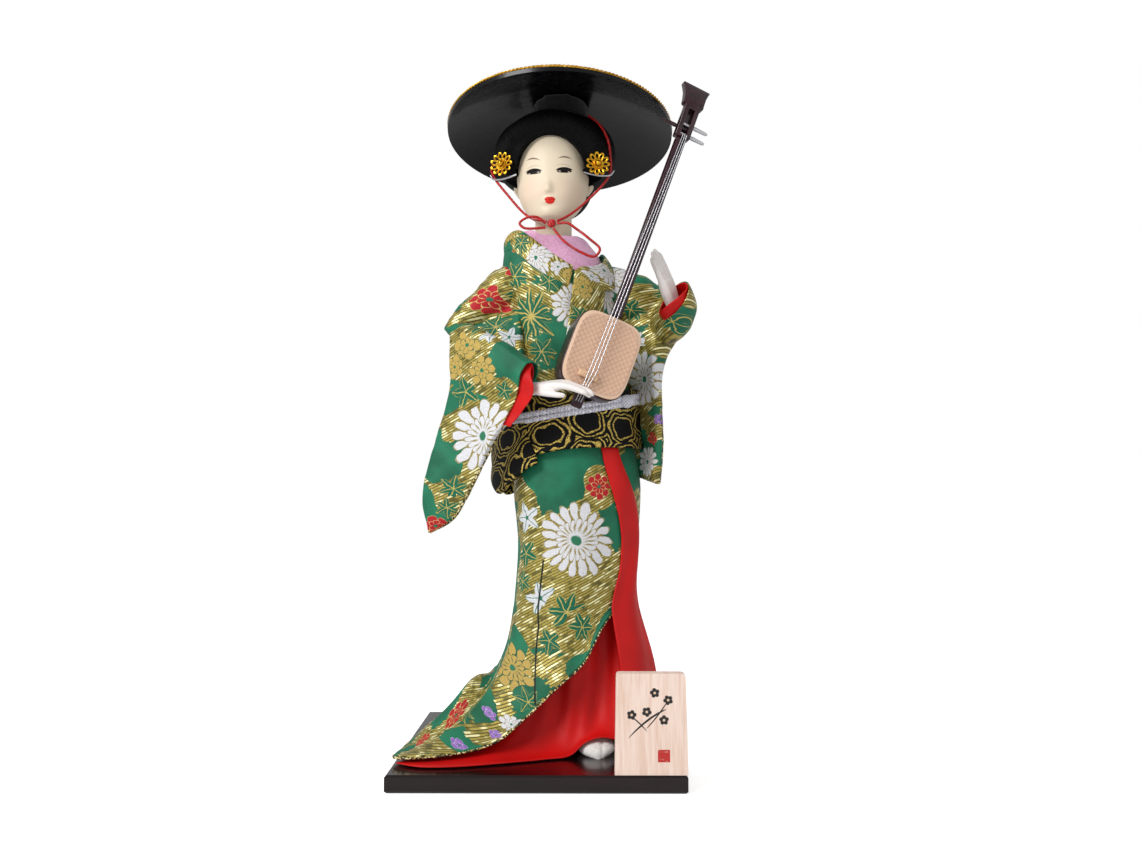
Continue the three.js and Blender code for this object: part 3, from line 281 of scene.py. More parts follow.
def thicken(obj, thickness, offset=-1.0, smooth=1):
    """Gives a sheet its thickness, then rounds it."""
    modify(obj, "SOLIDIFY", thickness=thickness * MM, offset=offset)
    if smooth:
        modify(obj, "SUBSURF", levels=smooth, render_levels=smooth)
    return obj


def tube(points, radii, sides, closed=False):
    """A round bar through points in millimetres, made from a curve with a bevel."""
    data = bpy.data.curves.new("bar", "CURVE")
    data.dimensions = "3D"
    data.bevel_depth = 1.0
    data.bevel_resolution = max(0, sides // 4 - 1)
    data.use_fill_caps = not closed
    line = data.splines.new("POLY")
    line.points.add(len(points) - 1)
    line.use_cyclic_u = closed
    for k, p in enumerate(points):
        line.points[k].co = (*to_frame(p), 1)
        line.points[k].radius = (radii[k] if hasattr(radii, "__len__") else radii) * MM
    make_active(link("bar", data))
    bpy.ops.object.convert(target="MESH")
    return bpy.context.object


def join(objs):
    make_active(objs[0])
    for o in objs[1:]:
        o.select_set(True)
    bpy.ops.object.join()
    return bpy.context.object


def fuse(obj, voxel, smooth):
    """Melts overlapping bodies into one skin, as clay is pressed together."""
    modify(obj, "REMESH", mode="VOXEL", voxel_size=voxel * MM)
    return modify(obj, "SMOOTH", iterations=smooth, factor=0.5)


def edit(obj):
    make_active(obj)
    bpy.ops.object.mode_set(mode="EDIT")
    return bmesh.from_edit_mesh(obj.data)


def weld(obj, cap=False):
    """Joins the seam of a folded sheet; cap also closes its open ends."""
    edit(obj)
    bpy.ops.mesh.select_all(action="SELECT")
    bpy.ops.mesh.remove_doubles(threshold=SEAM)
    if cap:
        bpy.ops.mesh.select_all(action="DESELECT")
        bpy.ops.mesh.select_non_manifold()
        bpy.ops.mesh.edge_face_add()
        bpy.ops.mesh.select_all(action="SELECT")
    bpy.ops.mesh.normals_make_consistent(inside=False)
    bpy.ops.object.mode_set(mode="OBJECT")
    return obj


def room(obj, tool):
    """Cuts one body out of another."""
    modify(obj, "BOOLEAN", operation="DIFFERENCE", solver="EXACT", object=tool)
    bpy.data.objects.remove(tool)


def turned(profile, sides, close=True):
    """A turned body about Z, as on a lathe: a ring is extruded and resized from row to row."""
    deselect()
    r0, z0 = profile[0]
    bpy.ops.mesh.primitive_circle_add(vertices=sides, radius=max(r0, 0.02) * MM, location=(0, 0, z0 * MM))
    obj = bpy.context.object
    bpy.ops.object.transform_apply(location=True)
    edit(obj)
    bpy.ops.mesh.select_all(action="SELECT")
    if close:
        bpy.ops.mesh.edge_face_add()
    before_r, before_z = max(r0, 0.02), z0
    for r, z in profile[1:]:
        r = max(r, 0.02)
        bpy.ops.mesh.extrude_region_move(TRANSFORM_OT_translate={"value": (0, 0, (z - before_z) * MM)})
        grow = r / before_r
        bpy.ops.transform.resize(value=(grow, grow, 1), center_override=(0, 0, z * MM))
        before_r, before_z = r, z
    bpy.ops.mesh.select_all(action="SELECT")
    bpy.ops.mesh.normals_make_consistent(inside=False)
    bpy.ops.object.mode_set(mode="OBJECT")
    return obj


def place(obj, matrix):
    """Moves the mesh itself, so that the object stays at the origin."""
    obj.data.transform(matrix)
    obj.data.update()
    return obj


print("helpers ready")

# %% [markdown]
# ## Shader nodes
# Each finish is a small graph. A helper writes the maths nodes, so that a cell reads like the formula it is.
# Effects that several finishes share are node groups, and these give only colours, masks and heights.

# %% Helpers for shader graphs
def rgb(r, g, b):
    """An sRGB colour, 0 to 255, as the linear colour that shader nodes use."""
    out = []
    for c in (r, g, b):
        c = c / 255
        out.append(c / 12.92 if c <= 0.04045 else ((c + 0.055) / 1.055) ** 2.4)
    return (*out, 1.0)


class Graph:
    def __init__(self, tree):
        self.tree = tree

    def node(self, kind, **settings):
        n = self.tree.nodes.new("ShaderNode" + kind)
        for key, value in settings.items():
            setattr(n, key, value)
        return n

    def put(self, socket, value):
        if isinstance(value, bpy.types.NodeSocket):
            self.tree.links.new(value, socket)
        else:
            socket.default_value = value

    def fill(self, n, inputs):
        """Sets a node's inputs, by number or by name, and gives its outputs."""
        for key, value in inputs.items():
            if value is not None:
                self.put(n.inputs[key], value)
        return n.outputs

    def math(self, operation, a, b=None, c=None):
        return self.fill(self.node("Math", operation=operation), {0: a, 1: b, 2: c})[0]

    def plus(self, a, b):
        return self.math("ADD", a, b)

    def minus(self, a, b):
        return self.math("SUBTRACT", a, b)

    def times(self, a, b):
        return self.math("MULTIPLY", a, b)

    def vector(self, operation, a, b=None, scale=None):
        out = self.fill(self.node("VectorMath", operation=operation), {0: a, 1: b, "Scale": scale})
        return out["Value" if operation in ("LENGTH", "DOT_PRODUCT") else "Vector"]

    def mix(self, share, a, b, kind="RGBA"):
        in_a, in_b, out = {"RGBA": (6, 7, 2), "VECTOR": (4, 5, 1), "FLOAT": (2, 3, 0)}[kind]
        return self.fill(self.node("Mix", data_type=kind), {0: share, in_a: a, in_b: b})[out]

    def step(self, x, low, high):
        return self.fill(self.node("MapRange", interpolation_type="SMOOTHSTEP"), {0: x, 1: low, 2: high})[0]

    def noise(self, at, scale, detail=2.0, distortion=0.0, kind="3D"):
        inputs = {"Vector": at, "Scale": scale, "Detail": detail, "Distortion": distortion}
        return self.fill(self.node("TexNoise", noise_dimensions=kind), inputs)["Fac"]

    def chance(self, number):
        """A share from 0 to 1 that is different for each number."""
        return self.fill(self.node("TexWhiteNoise", noise_dimensions="1D"), {"W": number})["Value"]

    def cells(self, at, size, chance):
        """Scattered middles, about a size apart: each place knows the nearest one."""
        n = self.node("TexVoronoi", voronoi_dimensions="2D", feature="F1")
        return self.fill(n, {"Vector": at, "Scale": 1 / size, "Randomness": chance})

    def in_mm(self):
        """Places on the piece, in millimetres."""
        return self.vector("SCALE", self.node("TexCoord").outputs["Object"], scale=1000.0)

    def on_cloth(self, layer):
        """Lengths along the cloth, in millimetres."""
        return self.vector("SCALE", self.node("UVMap", uv_map=layer).outputs[0], scale=100.0)

    def axes(self, v):
        return tuple(self.fill(self.node("SeparateXYZ"), {0: v}))

    def combine(self, x, y, z=0.0):
        return self.fill(self.node("CombineXYZ"), {0: x, 1: y, 2: z})[0]

    def ramp(self, x, colours):
        n = self.node("ValToRGB")
        n.color_ramp.interpolation = "CONSTANT"
        marks = n.color_ramp.elements
        for k, (at, colour) in enumerate(colours):
            mark = marks[k] if k < 2 else marks.new(at)
            mark.position = at
            mark.color = colour
        return self.fill(n, {0: x})[0]

    def group(self, tree, **inputs):
        return self.fill(self.node("Group", node_tree=tree), inputs)

    def bump(self, height, strength, distance):
        n = self.node("Bump")
        return self.fill(n, {"Height": height, "Strength": strength, "Distance": distance})[0]


def new_group(name, inputs, outputs):
    tree = bpy.data.node_groups.new(name, "ShaderNodeTree")
    for key, kind in inputs:
        tree.interface.new_socket(key, in_out="INPUT", socket_type="NodeSocket" + kind)
    for key, kind in outputs:
        tree.interface.new_socket(key, in_out="OUTPUT", socket_type="NodeSocket" + kind)
    g = Graph(tree)
    return tree, g, tree.nodes.new("NodeGroupInput").outputs, tree.nodes.new("NodeGroupOutput").inputs


def new_finish(name, **sockets):
    """A material with one Principled shader; constant values go on its sockets."""
    finish = bpy.data.materials.new(name)
    finish.use_nodes = True
    g = Graph(finish.node_tree)
    shader = next(n for n in finish.node_tree.nodes if n.type == "BSDF_PRINCIPLED")
    for key, value in sockets.items():
        g.put(shader.inputs[key.replace("_", " ")], value)
    return finish, g, shader.inputs


print("a middle grey is", round(rgb(128, 128, 128)[0], 3), "in linear light")

# %% [markdown]
# ## Groups that several finishes share
# A chrysanthemum is drawn in polar coordinates: the angle is folded into petals, each petal ends in a
# round tip, a shorter ring lies over the long one, and thin gaps between petals become gold outlines.

# %% Chrysanthemum group
flower_tree, g, given, out = new_group(
    "chrysanthemum",
    [("Local", "Vector"), ("Petals", "Float"), ("Spin", "Float"), ("Star", "Float")],
    [("Fill", "Float"), ("Line", "Float"), ("Heart", "Float")],
)
own_place = g.vector("ADD", given["Local"], g.combine(given["Spin"], given["Petals"]))
stray = g.fill(g.node("TexNoise", noise_dimensions="2D"), {"Vector": own_place, "Scale": 2.3})["Color"]
drift = g.vector("SCALE", g.vector("SUBTRACT", stray, (0.5, 0.5, 0.5)), scale=0.18)
fx, fy, _ = g.axes(g.vector("ADD", given["Local"], drift))
radius = g.math("SQRT", g.plus(g.times(fx, fx), g.times(fy, fy)))
angle = g.plus(g.math("DIVIDE", g.math("ARCTAN2", fy, fx), 2 * math.pi), given["Spin"])
turns = g.times(g.plus(angle, 4.0), given["Petals"])
length = g.minus(0.97, g.times(g.chance(g.math("FLOOR", turns)), 0.16))
outer = g.math("ABSOLUTE", g.minus(g.math("FRACT", turns), 0.5))
inner = g.math("ABSOLUTE", g.minus(g.math("FRACT", g.plus(turns, 0.5)), 0.5))
round_end = g.minus(length, g.times(g.math("POWER", outer, 3.0), 2.4))
star_end = g.minus(1.0, g.times(outer, 1.15))
outer_end = g.mix(given["Star"], round_end, star_end, "FLOAT")
inner_end = g.minus(0.5, g.times(g.math("POWER", inner, 3.0), 1.6))
fill = g.step(g.minus(outer_end, radius), 0.0, 0.02)
covered = g.step(g.minus(inner_end, radius), -0.01, 0.01)
arc = g.math("DIVIDE", g.times(radius, 2 * math.pi), given["Petals"])
gap_out = g.step(g.times(g.minus(0.5, outer), arc), 0.034, 0.016)
gap_in = g.step(g.times(g.minus(0.5, inner), arc), 0.028, 0.012)
gap = g.times(g.mix(covered, gap_out, gap_in, "FLOAT"), g.step(radius, 0.12, 0.3))
rim_in = g.step(g.math("ABSOLUTE", g.minus(inner_end, radius)), 0.03, 0.012)
vein = g.step(g.times(outer, arc), 0.035, 0.012)
inside = g.mix(given["Star"], g.math("MAXIMUM", gap, rim_in), vein, "FLOAT")
rim = g.step(g.minus(outer_end, radius), 0.05, 0.02)
g.put(out["Fill"], fill)
g.put(out["Line"], g.math("MAXIMUM", inside, rim))
g.put(out["Heart"], g.step(radius, 0.14, 0.1))
print("chrysanthemum:", len(flower_tree.nodes), "nodes")

# %% [markdown]
# Woven cloth shows its threads as a fine rib across and a finer one along. The height feeds the bump,
# and the second output is painted shade, which darkens the gaps between threads a little.

# %% Weave group
weave_tree, g, given, out = new_group(
    "weave", [("At", "Vector"), ("Pitch", "Float")], [("Height", "Float"), ("Gap_Shade", "Float")]
)
wx, wy, _ = g.axes(g.vector("SCALE", given["At"], scale=g.math("DIVIDE", 2 * math.pi, given["Pitch"])))
warp = g.math("SINE", wx)
weft = g.math("SINE", wy)
height = g.plus(g.times(warp, 0.25), g.times(weft, 0.25))
height = g.plus(height, g.times(g.noise(given["At"], 1.6, 3.0), 0.6))
g.put(out["Height"], height)
# painted shade: the gaps between threads are a little darker
g.put(out["Gap_Shade"], g.plus(0.86, g.times(height, 0.2)))
print("weave:", len(weave_tree.nodes), "nodes")

# %% [markdown]
# Painted marks, such as brows, are soft bent ellipses. The group moves to the mark's middle, bends the
# line by a parabola and fades it out at the edge.

# %% Painted stroke group
stroke_tree, g, given, out = new_group(
    "painted_stroke",
    [(key, "Float") for key in ("X", "Z", "Half", "Thick", "Bow", "Tilt", "Soft")] + [("At", "Vector")],
    [("Mask", "Float")],
)
sx, _, sz = g.axes(g.vector("SCALE", given["At"], scale=1000.0))
dx = g.minus(sx, given["X"])
dz = g.minus(g.minus(sz, given["Z"]), g.times(dx, given["Tilt"]))
ux = g.math("DIVIDE", dx, given["Half"])
bent = g.minus(dz, g.times(given["Bow"], g.minus(1.0, g.times(ux, ux))))
uz = g.math("DIVIDE", bent, given["Thick"])
far = g.plus(g.times(ux, ux), g.times(uz, uz))
mask = g.step(far, g.plus(1.0, given["Soft"]), g.minus(1.0, given["Soft"]))
g.put(out["Mask"], mask)


def brush(g, at, front, usual):
    """A brush for one finish: each call lays a stroke of colour over what is under it."""
    def stroke(colour, under, x, z, half, thick, bow=0.0, tilt=0.0, soft=usual, strength=1.0):
        mark = g.group(
            stroke_tree, X=x, Z=z, Half=half, Thick=thick, Bow=bow, Tilt=tilt, Soft=soft, At=at
        )["Mask"]
        return g.mix(g.times(g.times(mark, front), strength), under, colour)
    return stroke


print("stroke:", len(stroke_tree.nodes), "nodes")

# %% [markdown]
# ## Brocade
# The kimono is woven silk: a green ground, clouds of slanting gold thread, and flowers in white, red and
# gold. Every gold thread is one row, and the cloud is read once per row, so that its edge is ragged
# the way thread ends are. Blossoms are set one by one where the front shows them: place on the cloth in
# millimetres, radius, petals, spin and colour. The rest are scattered in the cells of a Voronoi grid.

# %% Colours of the silk
WHITE, STAR, RED, GOLD, LEAF, PURPLE = 0.05, 0.15, 0.3, 0.47, 0.65, 0.85
PETALS = [
    (0.0, rgb(226, 226, 230)),
    (0.1, rgb(222, 224, 228)),
    (0.2, rgb(186, 22, 34)),
    (0.4, rgb(196, 166, 84)),
    (0.55, rgb(14, 104, 74)),
    (0.75, rgb(150, 108, 190)),
]
OUTLINES = [
    (0.0, rgb(150, 134, 70)),
    (0.1, rgb(30, 110, 80)),
    (0.2, rgb(224, 190, 120)),
    (0.4, rgb(24, 88, 58)),
    (0.55, rgb(204, 182, 96)),
    (0.75, rgb(226, 214, 236)),
]
THREAD = 1.15
SLANT = math.radians(27)


def brocade(name, blossoms, patches, clouds=0.47, lean=1.0, shift=(0.0, 0.0), scatter=None, own=(0, 0),
            seam=()):
    """Woven silk. Patches: (across, down, half width, half height, gain) make the cloud fuller or barer."""
    finish, g, shader = new_finish(name, Sheen_Weight=0.06, Sheen_Roughness=0.4, Specular_IOR_Level=0.35)
    at = g.on_cloth("cloth")
    moved = g.vector("ADD", at, (shift[0], shift[1], 0.0))
    ax, ay, _ = g.axes(at)
    # rows of gold thread: a length along the thread and the number of the row
    c, s = math.cos(SLANT), math.sin(SLANT)
    length = g.vector("DOT_PRODUCT", moved, (lean * c, s, 0))
    rows = g.math("DIVIDE", g.vector("DOT_PRODUCT", moved, (-lean * s, c, 0)), THREAD)
    row = g.math("FLOOR", rows)
    part = g.minus(g.times(g.math("FRACT", rows), 2.0), 1.0)
    crown = g.minus(1.0, g.times(part, part))
    ragged = g.plus(length, g.times(g.chance(row), 2.6))
    spot = g.combine(g.times(ragged, 0.045), g.times(row, THREAD * 0.06))
    cloud = g.noise(spot, 1.0, 1.6, kind="2D")
    for across, down, wide, high, gain in patches:
        away = g.vector("SUBTRACT", at, (across, down, 0.0))
        away = g.vector("LENGTH", g.vector("MULTIPLY", away, (1 / wide, 1 / high, 0.0)))
        cloud = g.plus(cloud, g.times(g.step(away, 1.15, 0.75), gain))
    gold_mask = g.step(cloud, 1 - clouds - 0.008, 1 - clouds + 0.008)
    # the green ground, a little uneven
    tone = g.noise(moved, 0.06, 3.0)
    ground = g.mix(g.step(tone, 0.3, 0.7), rgb(8, 92, 64), rgb(26, 124, 90))
    # gold: painted shade between the threads, painted glints where a thread would catch the light,
    # and painted darker patches where it would not
    glint_and_shade = g.noise(g.combine(g.times(length, 0.16), g.times(row, 3.7)), 1.0, 2.0, kind="2D")
    gold = g.mix(g.step(crown, 0.1, 0.8), rgb(56, 58, 20), rgb(178, 160, 78))
    gold = g.mix(g.times(g.step(glint_and_shade, 0.46, 0.32), 0.8), gold, rgb(84, 82, 34))
    bright = g.times(g.step(glint_and_shade, 0.54, 0.64), g.step(crown, 0.4, 0.85))
    gold = g.mix(bright, gold, rgb(253, 246, 188))
    cloth = g.mix(gold_mask, ground, gold)
    # the blossom that is nearest: where it is, and which one
    near, kind = (2.0, 0.0, 0.0), (8.0, 0.0, 0.3)
    if scatter:
        cell = g.cells(moved, scatter, 0.75)
        local = g.vector("SUBTRACT", moved, cell["Position"])
        c1, c2, c3 = g.axes(cell["Color"])
        big = g.math("GREATER_THAN", c1, 0.7)
        size = g.plus(0.3 * scatter, g.times(big, 0.16 * scatter))
        local = g.vector("SCALE", local, scale=g.math("DIVIDE", 1.0, size))
        inside = g.math("LESS_THAN", g.vector("LENGTH", local), 1.0)
        here = g.times(inside, g.math("GREATER_THAN", c3, 0.25))
        kept = g.times(g.math("GREATER_THAN", ax, own[0]), g.math("LESS_THAN", ax, own[1]))
        here = g.times(here, g.minus(1.0, kept))
        near = g.mix(here, near, local, "VECTOR")
        small = g.plus(0.12, g.times(c2, 0.56))
        shade = g.mix(big, small, g.times(g.math("GREATER_THAN", c2, 0.6), 0.45), "FLOAT")
        kind = g.combine(g.mix(big, 6.0, 18.0, "FLOAT"), c3, shade)
    for across, down, reach, count, spin, shade in blossoms:
        local = g.vector("SCALE", g.vector("SUBTRACT", at, (across, down, 0.0)), scale=1 / reach)
        here = g.math("LESS_THAN", g.vector("LENGTH", local), 1.08)
        near = g.mix(here, near, local, "VECTOR")
        kind = g.mix(here, kind, (count, spin, shade), "VECTOR")
    count, spin, shade = g.axes(kind) if not isinstance(kind, tuple) else kind
    star = g.math("MAXIMUM", g.math("COMPARE", shade, STAR, 0.05), g.math("COMPARE", shade, LEAF, 0.1))
    flower = g.group(flower_tree, Local=near, Petals=count, Spin=spin, Star=star)
    petal = g.mix(flower["Heart"], g.ramp(shade, PETALS), rgb(40, 120, 84))
    silky = g.noise(at, 1.3, 2.0)
    petal = g.mix(g.times(g.step(silky, 0.4, 0.75), 0.16), petal, rgb(20, 30, 30))
    cloth = g.mix(flower["Fill"], cloth, petal)
    trace = g.times(flower["Fill"], flower["Line"])
    cloth = g.mix(trace, cloth, g.ramp(shade, OUTLINES))
    # a sewn seam is a thin dark line
    for (u0, v0), (u1, v1) in zip(seam, seam[1:]):
        lean_in = (u1 - u0) / (v1 - v0)
        away = g.math("ABSOLUTE", g.minus(ax, g.plus(u0 - v0 * lean_in, g.times(ay, lean_in))))
        row_in = g.times(g.math("LESS_THAN", ay, v0), g.math("GREATER_THAN", ay, v1))
        cloth = g.mix(g.times(row_in, g.step(away, 0.55, 0.25)), cloth, rgb(6, 22, 16))
    # the weave's painted shade darkens the gaps between threads, and gold is half metal
    weave = g.group(weave_tree, At=at, Pitch=0.7)
    weave_shade = g.node("Mix", data_type="RGBA", blend_type="MULTIPLY")
    weave_shade.inputs[0].default_value = 1.0
    g.put(weave_shade.inputs[6], cloth)
    g.put(weave_shade.inputs[7], g.combine(weave["Gap_Shade"], weave["Gap_Shade"], weave["Gap_Shade"]))
    g.put(shader["Base Color"], weave_shade.outputs[2])
    metal = g.times(gold_mask, g.minus(1.0, flower["Fill"]))
    g.put(shader["Metallic"], g.times(metal, 0.35))
    g.put(shader["Roughness"], g.minus(0.62, g.times(metal, 0.22)))
    relief = g.plus(g.times(weave["Height"], 0.3), g.times(flower["Fill"], 0.4))
    relief = g.plus(relief, g.times(g.times(crown, metal), 0.5))
    g.put(shader["Normal"], g.bump(relief, 0.6, 0.0003))
    return finish


def piping_finish(name):
    """The corded edge: black silk, with gold and white thread wound round it."""
    finish, g, shader = new_finish(name, Roughness=0.5)
    at = g.in_mm()
    turns = g.noise(at, 1.15, 1.0)
    cord = g.mix(g.step(turns, 0.5, 0.54), rgb(8, 20, 16), rgb(196, 168, 84))
    g.put(shader["Base Color"], g.mix(g.step(turns, 0.6, 0.63), cord, rgb(244, 236, 190)))
    g.put(shader["Metallic"], g.times(g.step(turns, 0.5, 0.54), 0.3))
    g.put(shader["Normal"], g.bump(g.noise(at, 3.0, 2.0), 0.5, 0.0004))
    return finish


piping = piping_finish("piping")


def piped(cloth, finish, edges, radius=0.5):
    """Sews corded edges to a finished sheet; each part keeps its own finish."""
    cloth.data.materials.clear()
    cloth.data.materials.append(finish)
    cords = []
    for points, closed in edges:
        cord = tube(points, radius, 8, closed)
        cord.data.materials.append(piping)
        cords.append(cord)
    return join([cloth, *cords])


print("piping:", len(piping.node_tree.nodes), "nodes")

# %% [markdown]
# ## Plain silks and the other soft finishes
# Lining satin is one red with a slow change of tone; crepe is a fine crinkle; the sash is black with
# gold rings around scattered middles, cut where the next ring begins, like the scales of waves.

# %% Soft finishes
def satin(name, deep, light, rough):
    finish, g, shader = new_finish(name, Specular_IOR_Level=0.3)
    at = g.in_mm()
    shade = g.mix(g.step(g.noise(at, 0.05, 1.0), 0.2, 0.8), deep, light)
    g.put(shader["Base Color"], shade)
    g.put(shader["Roughness"], g.plus(rough, g.times(g.noise(at, 0.6, 2.0), 0.12)))
    g.put(shader["Normal"], g.bump(g.noise(at, 2.6, 3.0), 0.25, 0.0003))
    return finish


def crepe(name, deep, light):
    finish, g, shader = new_finish(name, Sheen_Weight=0.3, Sheen_Roughness=0.5, Roughness=0.8)
    at = g.in_mm()
    crinkle = g.noise(at, 1.1, 3.0, 0.6)
    g.put(shader["Base Color"], g.mix(g.step(crinkle, 0.3, 0.7), deep, light))
    g.put(shader["Normal"], g.bump(crinkle, 0.5, 0.0006))
    return finish


def sash_silk(name):
    finish, g, shader = new_finish(name, Specular_IOR_Level=0.15)
    at = g.on_cloth("cloth")
    drift = g.combine(g.noise(at, 0.12, 1.0), g.noise(at, 0.14, 1.0))
    drift = g.vector("SCALE", g.vector("SUBTRACT", drift, (0.5, 0.5, 0.0)), scale=6.0)
    drawn = g.vector("MULTIPLY", g.vector("ADD", at, drift), (1.0, 1.25, 1.0))
    deep = g.cells(drawn, 17.0, 0.5)["Distance"]
    rings = g.math("FRACT", g.times(deep, 7.2))
    line = g.times(g.step(rings, 0.34, 0.43), g.step(rings, 0.8, 0.71))
    line = g.times(line, g.step(deep, 0.24, 0.27))
    spark = g.noise(at, 1.7, 2.0)
    gold = g.mix(g.step(spark, 0.35, 0.65), rgb(112, 88, 32), rgb(240, 212, 112))
    line = g.times(line, g.step(g.noise(at, 0.9, 2.0), 0.25, 0.42))
    weave = g.group(weave_tree, At=at, Pitch=0.6)
    black = g.mix(g.noise(at, 0.2, 2.0), rgb(2, 2, 3), rgb(9, 8, 9))
    g.put(shader["Base Color"], g.mix(line, black, gold))
    g.put(shader["Metallic"], g.times(line, 0.5))
    g.put(shader["Roughness"], g.minus(0.6, g.times(line, 0.2)))
    relief = g.plus(g.times(weave["Height"], 0.4), g.times(line, 0.5))
    g.put(shader["Normal"], g.bump(relief, 0.6, 0.0003))
    return finish


lining_red = satin("lining_red", rgb(188, 5, 5), rgb(212, 8, 6), 0.5)
pink_silk = crepe("pink_silk", rgb(226, 160, 200), rgb(240, 188, 220))
tabi_white = crepe("tabi_white", rgb(224, 220, 216), rgb(242, 240, 236))
sash_finish = sash_silk("sash_silk")
print("soft finishes ready")

# %% [markdown]
# ## The skirt and its train
# On the doll the skirt is one wide piece of brocade, wrapped around the legs and left to run out to one
# side as a train that lies on the board. The lower part leaves the knee, falls and spreads at once.
# A little noise in the folds keeps the cloth from looking turned on a lathe.

# %% Skirt
# share of the way down, share of the spread, share of the fall, where the train folds over
TRAIN = [
    [0, 0, 0], [0.25, 0.07, 0.3], [0.45, 0.17, 0.5], [0.55, 0.25, 0.55], [0.65, 0.39, 0.55],
    [0.73, 0.52, 0.58], [0.82, 0.68, 0.71], [0.91, 0.84, 0.86], [1, 1, 1],
]
# x and the height that the train stays under there, as seen from the front
TRAIN_TOP = [
    [-80, 0], [-68, 1.4], [-60, 5.5], [-52, 12.2], [-43.9, 19.2], [-38, 25.6], [-32.6, 32.6],
    [-29, 35.4], [-24, 36.0], [-21.2, 38], [-20.4, 46], [-19.6, 60], [-18.5, 90],
]
VIEWER = Vector((16, -461, 115))    # where the picture is seen from, in millimetres


def pressed(p):
    """Presses the train down softly, so that the corner of the board shows behind it."""
    near = VIEWER.y / (VIEWER.y - p.y)
    (top,) = along(TRAIN_TOP, VIEWER.x + (p.x - VIEWER.x) * near)
    over = VIEWER.z + (p.z + WAIST - VIEWER.z) * near - top
    return p - Vector((0, 0, 0.5 * (over + math.hypot(over, 1.6)) / near))


def skirt_point(turn, v, grow):
    q = math.radians(turn) - BODY_TURN
    if v <= 0.4:
        return body_point(q, mix(SKIRT_TOP, -KNEE, v / 0.4), grow)
    w = (v - 0.4) / 0.6
    knee = body_point(q, -KNEE, grow)
    around = (turn + 180) % 360 - 180
    reach, lift = along(HEM, around)
    train = ease(-182, -150, around) * (1 - ease(-60, -36, around))
    fold = train * math.cos(math.radians(9 * around) + 0.6)
    far, fall = along(TRAIN, w)
    side = ease(-142, -114, around) * (1 - ease(-74, -62, around))
    out = mix(w ** 1.7, far, side)
    down = mix(1 - (1 - w) ** 1.6, fall, side)
    r = reach + grow - CLOTH + 1.6 * fold * w
    x = mix(knee.x, AXIS_X + r * math.sin(math.radians(around)), out)
    y = mix(knee.y, -r * math.cos(math.radians(around)), out)
    ripple = 1.8 * fold * math.sin(math.pi * w)
    return pressed(Vector((x, y, mix(knee.z, FLOOR + lift + CLOTH, down) + ripple)))


def skirt_face(u, v):
    turn = 150 - 360 * u
    p = skirt_point(turn, v, CLOTH)
    soft = ease(0.08, 0.3, v) * (1 - 0.7 * ease(0.85, 1, v))
    rough = noise.noise(Vector((p.x * 0.05, p.y * 0.05, p.z * 0.022)))
    away = (p - Vector((AXIS_X, 0, p.z))).normalized()
    return p + away * (0.55 * soft * rough + 0.35 * soft * math.sin(math.radians(turn) * 7 + 3 * v))


skirt_silk = brocade(
    "skirt_silk",
    [
        (-0.9, -42.3, 19.0, 19, 0.1, WHITE), (-11.6, -18.9, 6.6, 8, 0.2, RED),
        (21.5, -32.5, 7.5, 5, 0.1, STAR),
        (22.5, -48.5, 7.0, 5, 0.35, LEAF), (13.5, -67.7, 7.5, 5, 0.3, STAR), (1.5, -73.5, 9.5, 7, 0.2, LEAF),
        (23.5, -61.0, 6.0, 6, 0.0, LEAF), (10.5, -86.0, 6.0, 5, 0.1, LEAF), (-5.0, -80.0, 7.5, 6, 0.4, LEAF),
        (30.5, -99.0, 11.5, 12, 0.1, GOLD), (27.0, -113.0, 7.0, 6, 0.2, LEAF),
        (74.0, -129.6, 8.5, 9, 0.3, RED),
        (45.6, -120.8, 2.8, 5, 0.0, PURPLE), (46.0, -130.0, 3.0, 5, 0.4, PURPLE),
        (62.0, -140.5, 3.4, 5, 0.2, PURPLE),
        (38.0, -124.0, 5.5, 8, 0.1, WHITE), (86.0, -147.0, 5.0, 6, 0.0, RED),
        (-14.0, -104.0, 6.5, 6, 0.3, LEAF), (58.0, -124.0, 6.0, 6, 0.2, LEAF),
    ],
    patches=[(2, -12, 22, 12, -0.5), (-12, -18, 8.5, 10, 0.7), (0, -60, 19, 32, 0.35),
             (22, -38, 8, 18, 0.25),
             (16, -74, 10, 16, 0.3), (-9, -101, 16, 9, -0.4), (70, -127, 12, 9, 0.25),
             (48, -118, 6, 7, -0.2),
             (80, -146, 18, 5, 0.3), (28, -88, 6, 8, -0.3)],
    lean=-1.0, scatter=24.0, own=(-26, 100), seam=[(13.4, -51.1), (14.5, -80.0), (25.1, -116.2)],
)
skirt = cloth_grid("skirt", skirt_face, 150, 70, start=150 / 360, loop=True, flip=True)
thicken(skirt, SILK)
skirt = piped(skirt, skirt_silk, [([skirt_face(k / 180, 1.0) for k in range(180)], True)])
finish_piece(skirt, "skirt_silk", None, "doll", "brocade", ["skirt"])

# %% [markdown]
# The red under-skirt shows wherever the brocade lifts: along the board, over the foot and behind it.
# Its top is hidden inside the skirt, so its hem route does the work.

# %% Under-skirt and turned-back edge
under_hem = Route(
    (-59, -44.5, 0), (-47.5, -50.5, 0), (-33, -50, 0), (-13, -44, 0), (3, -38, 0), (13, -34.5, 0.6),
    (19, -31.5, 5),
    (26, -30.5, 7.2), (33, -29.5, 6), (42, -26, 2), (51, -18, 0), (56, -6, 0), (51, 11, 0), (38, 26, 0),
)


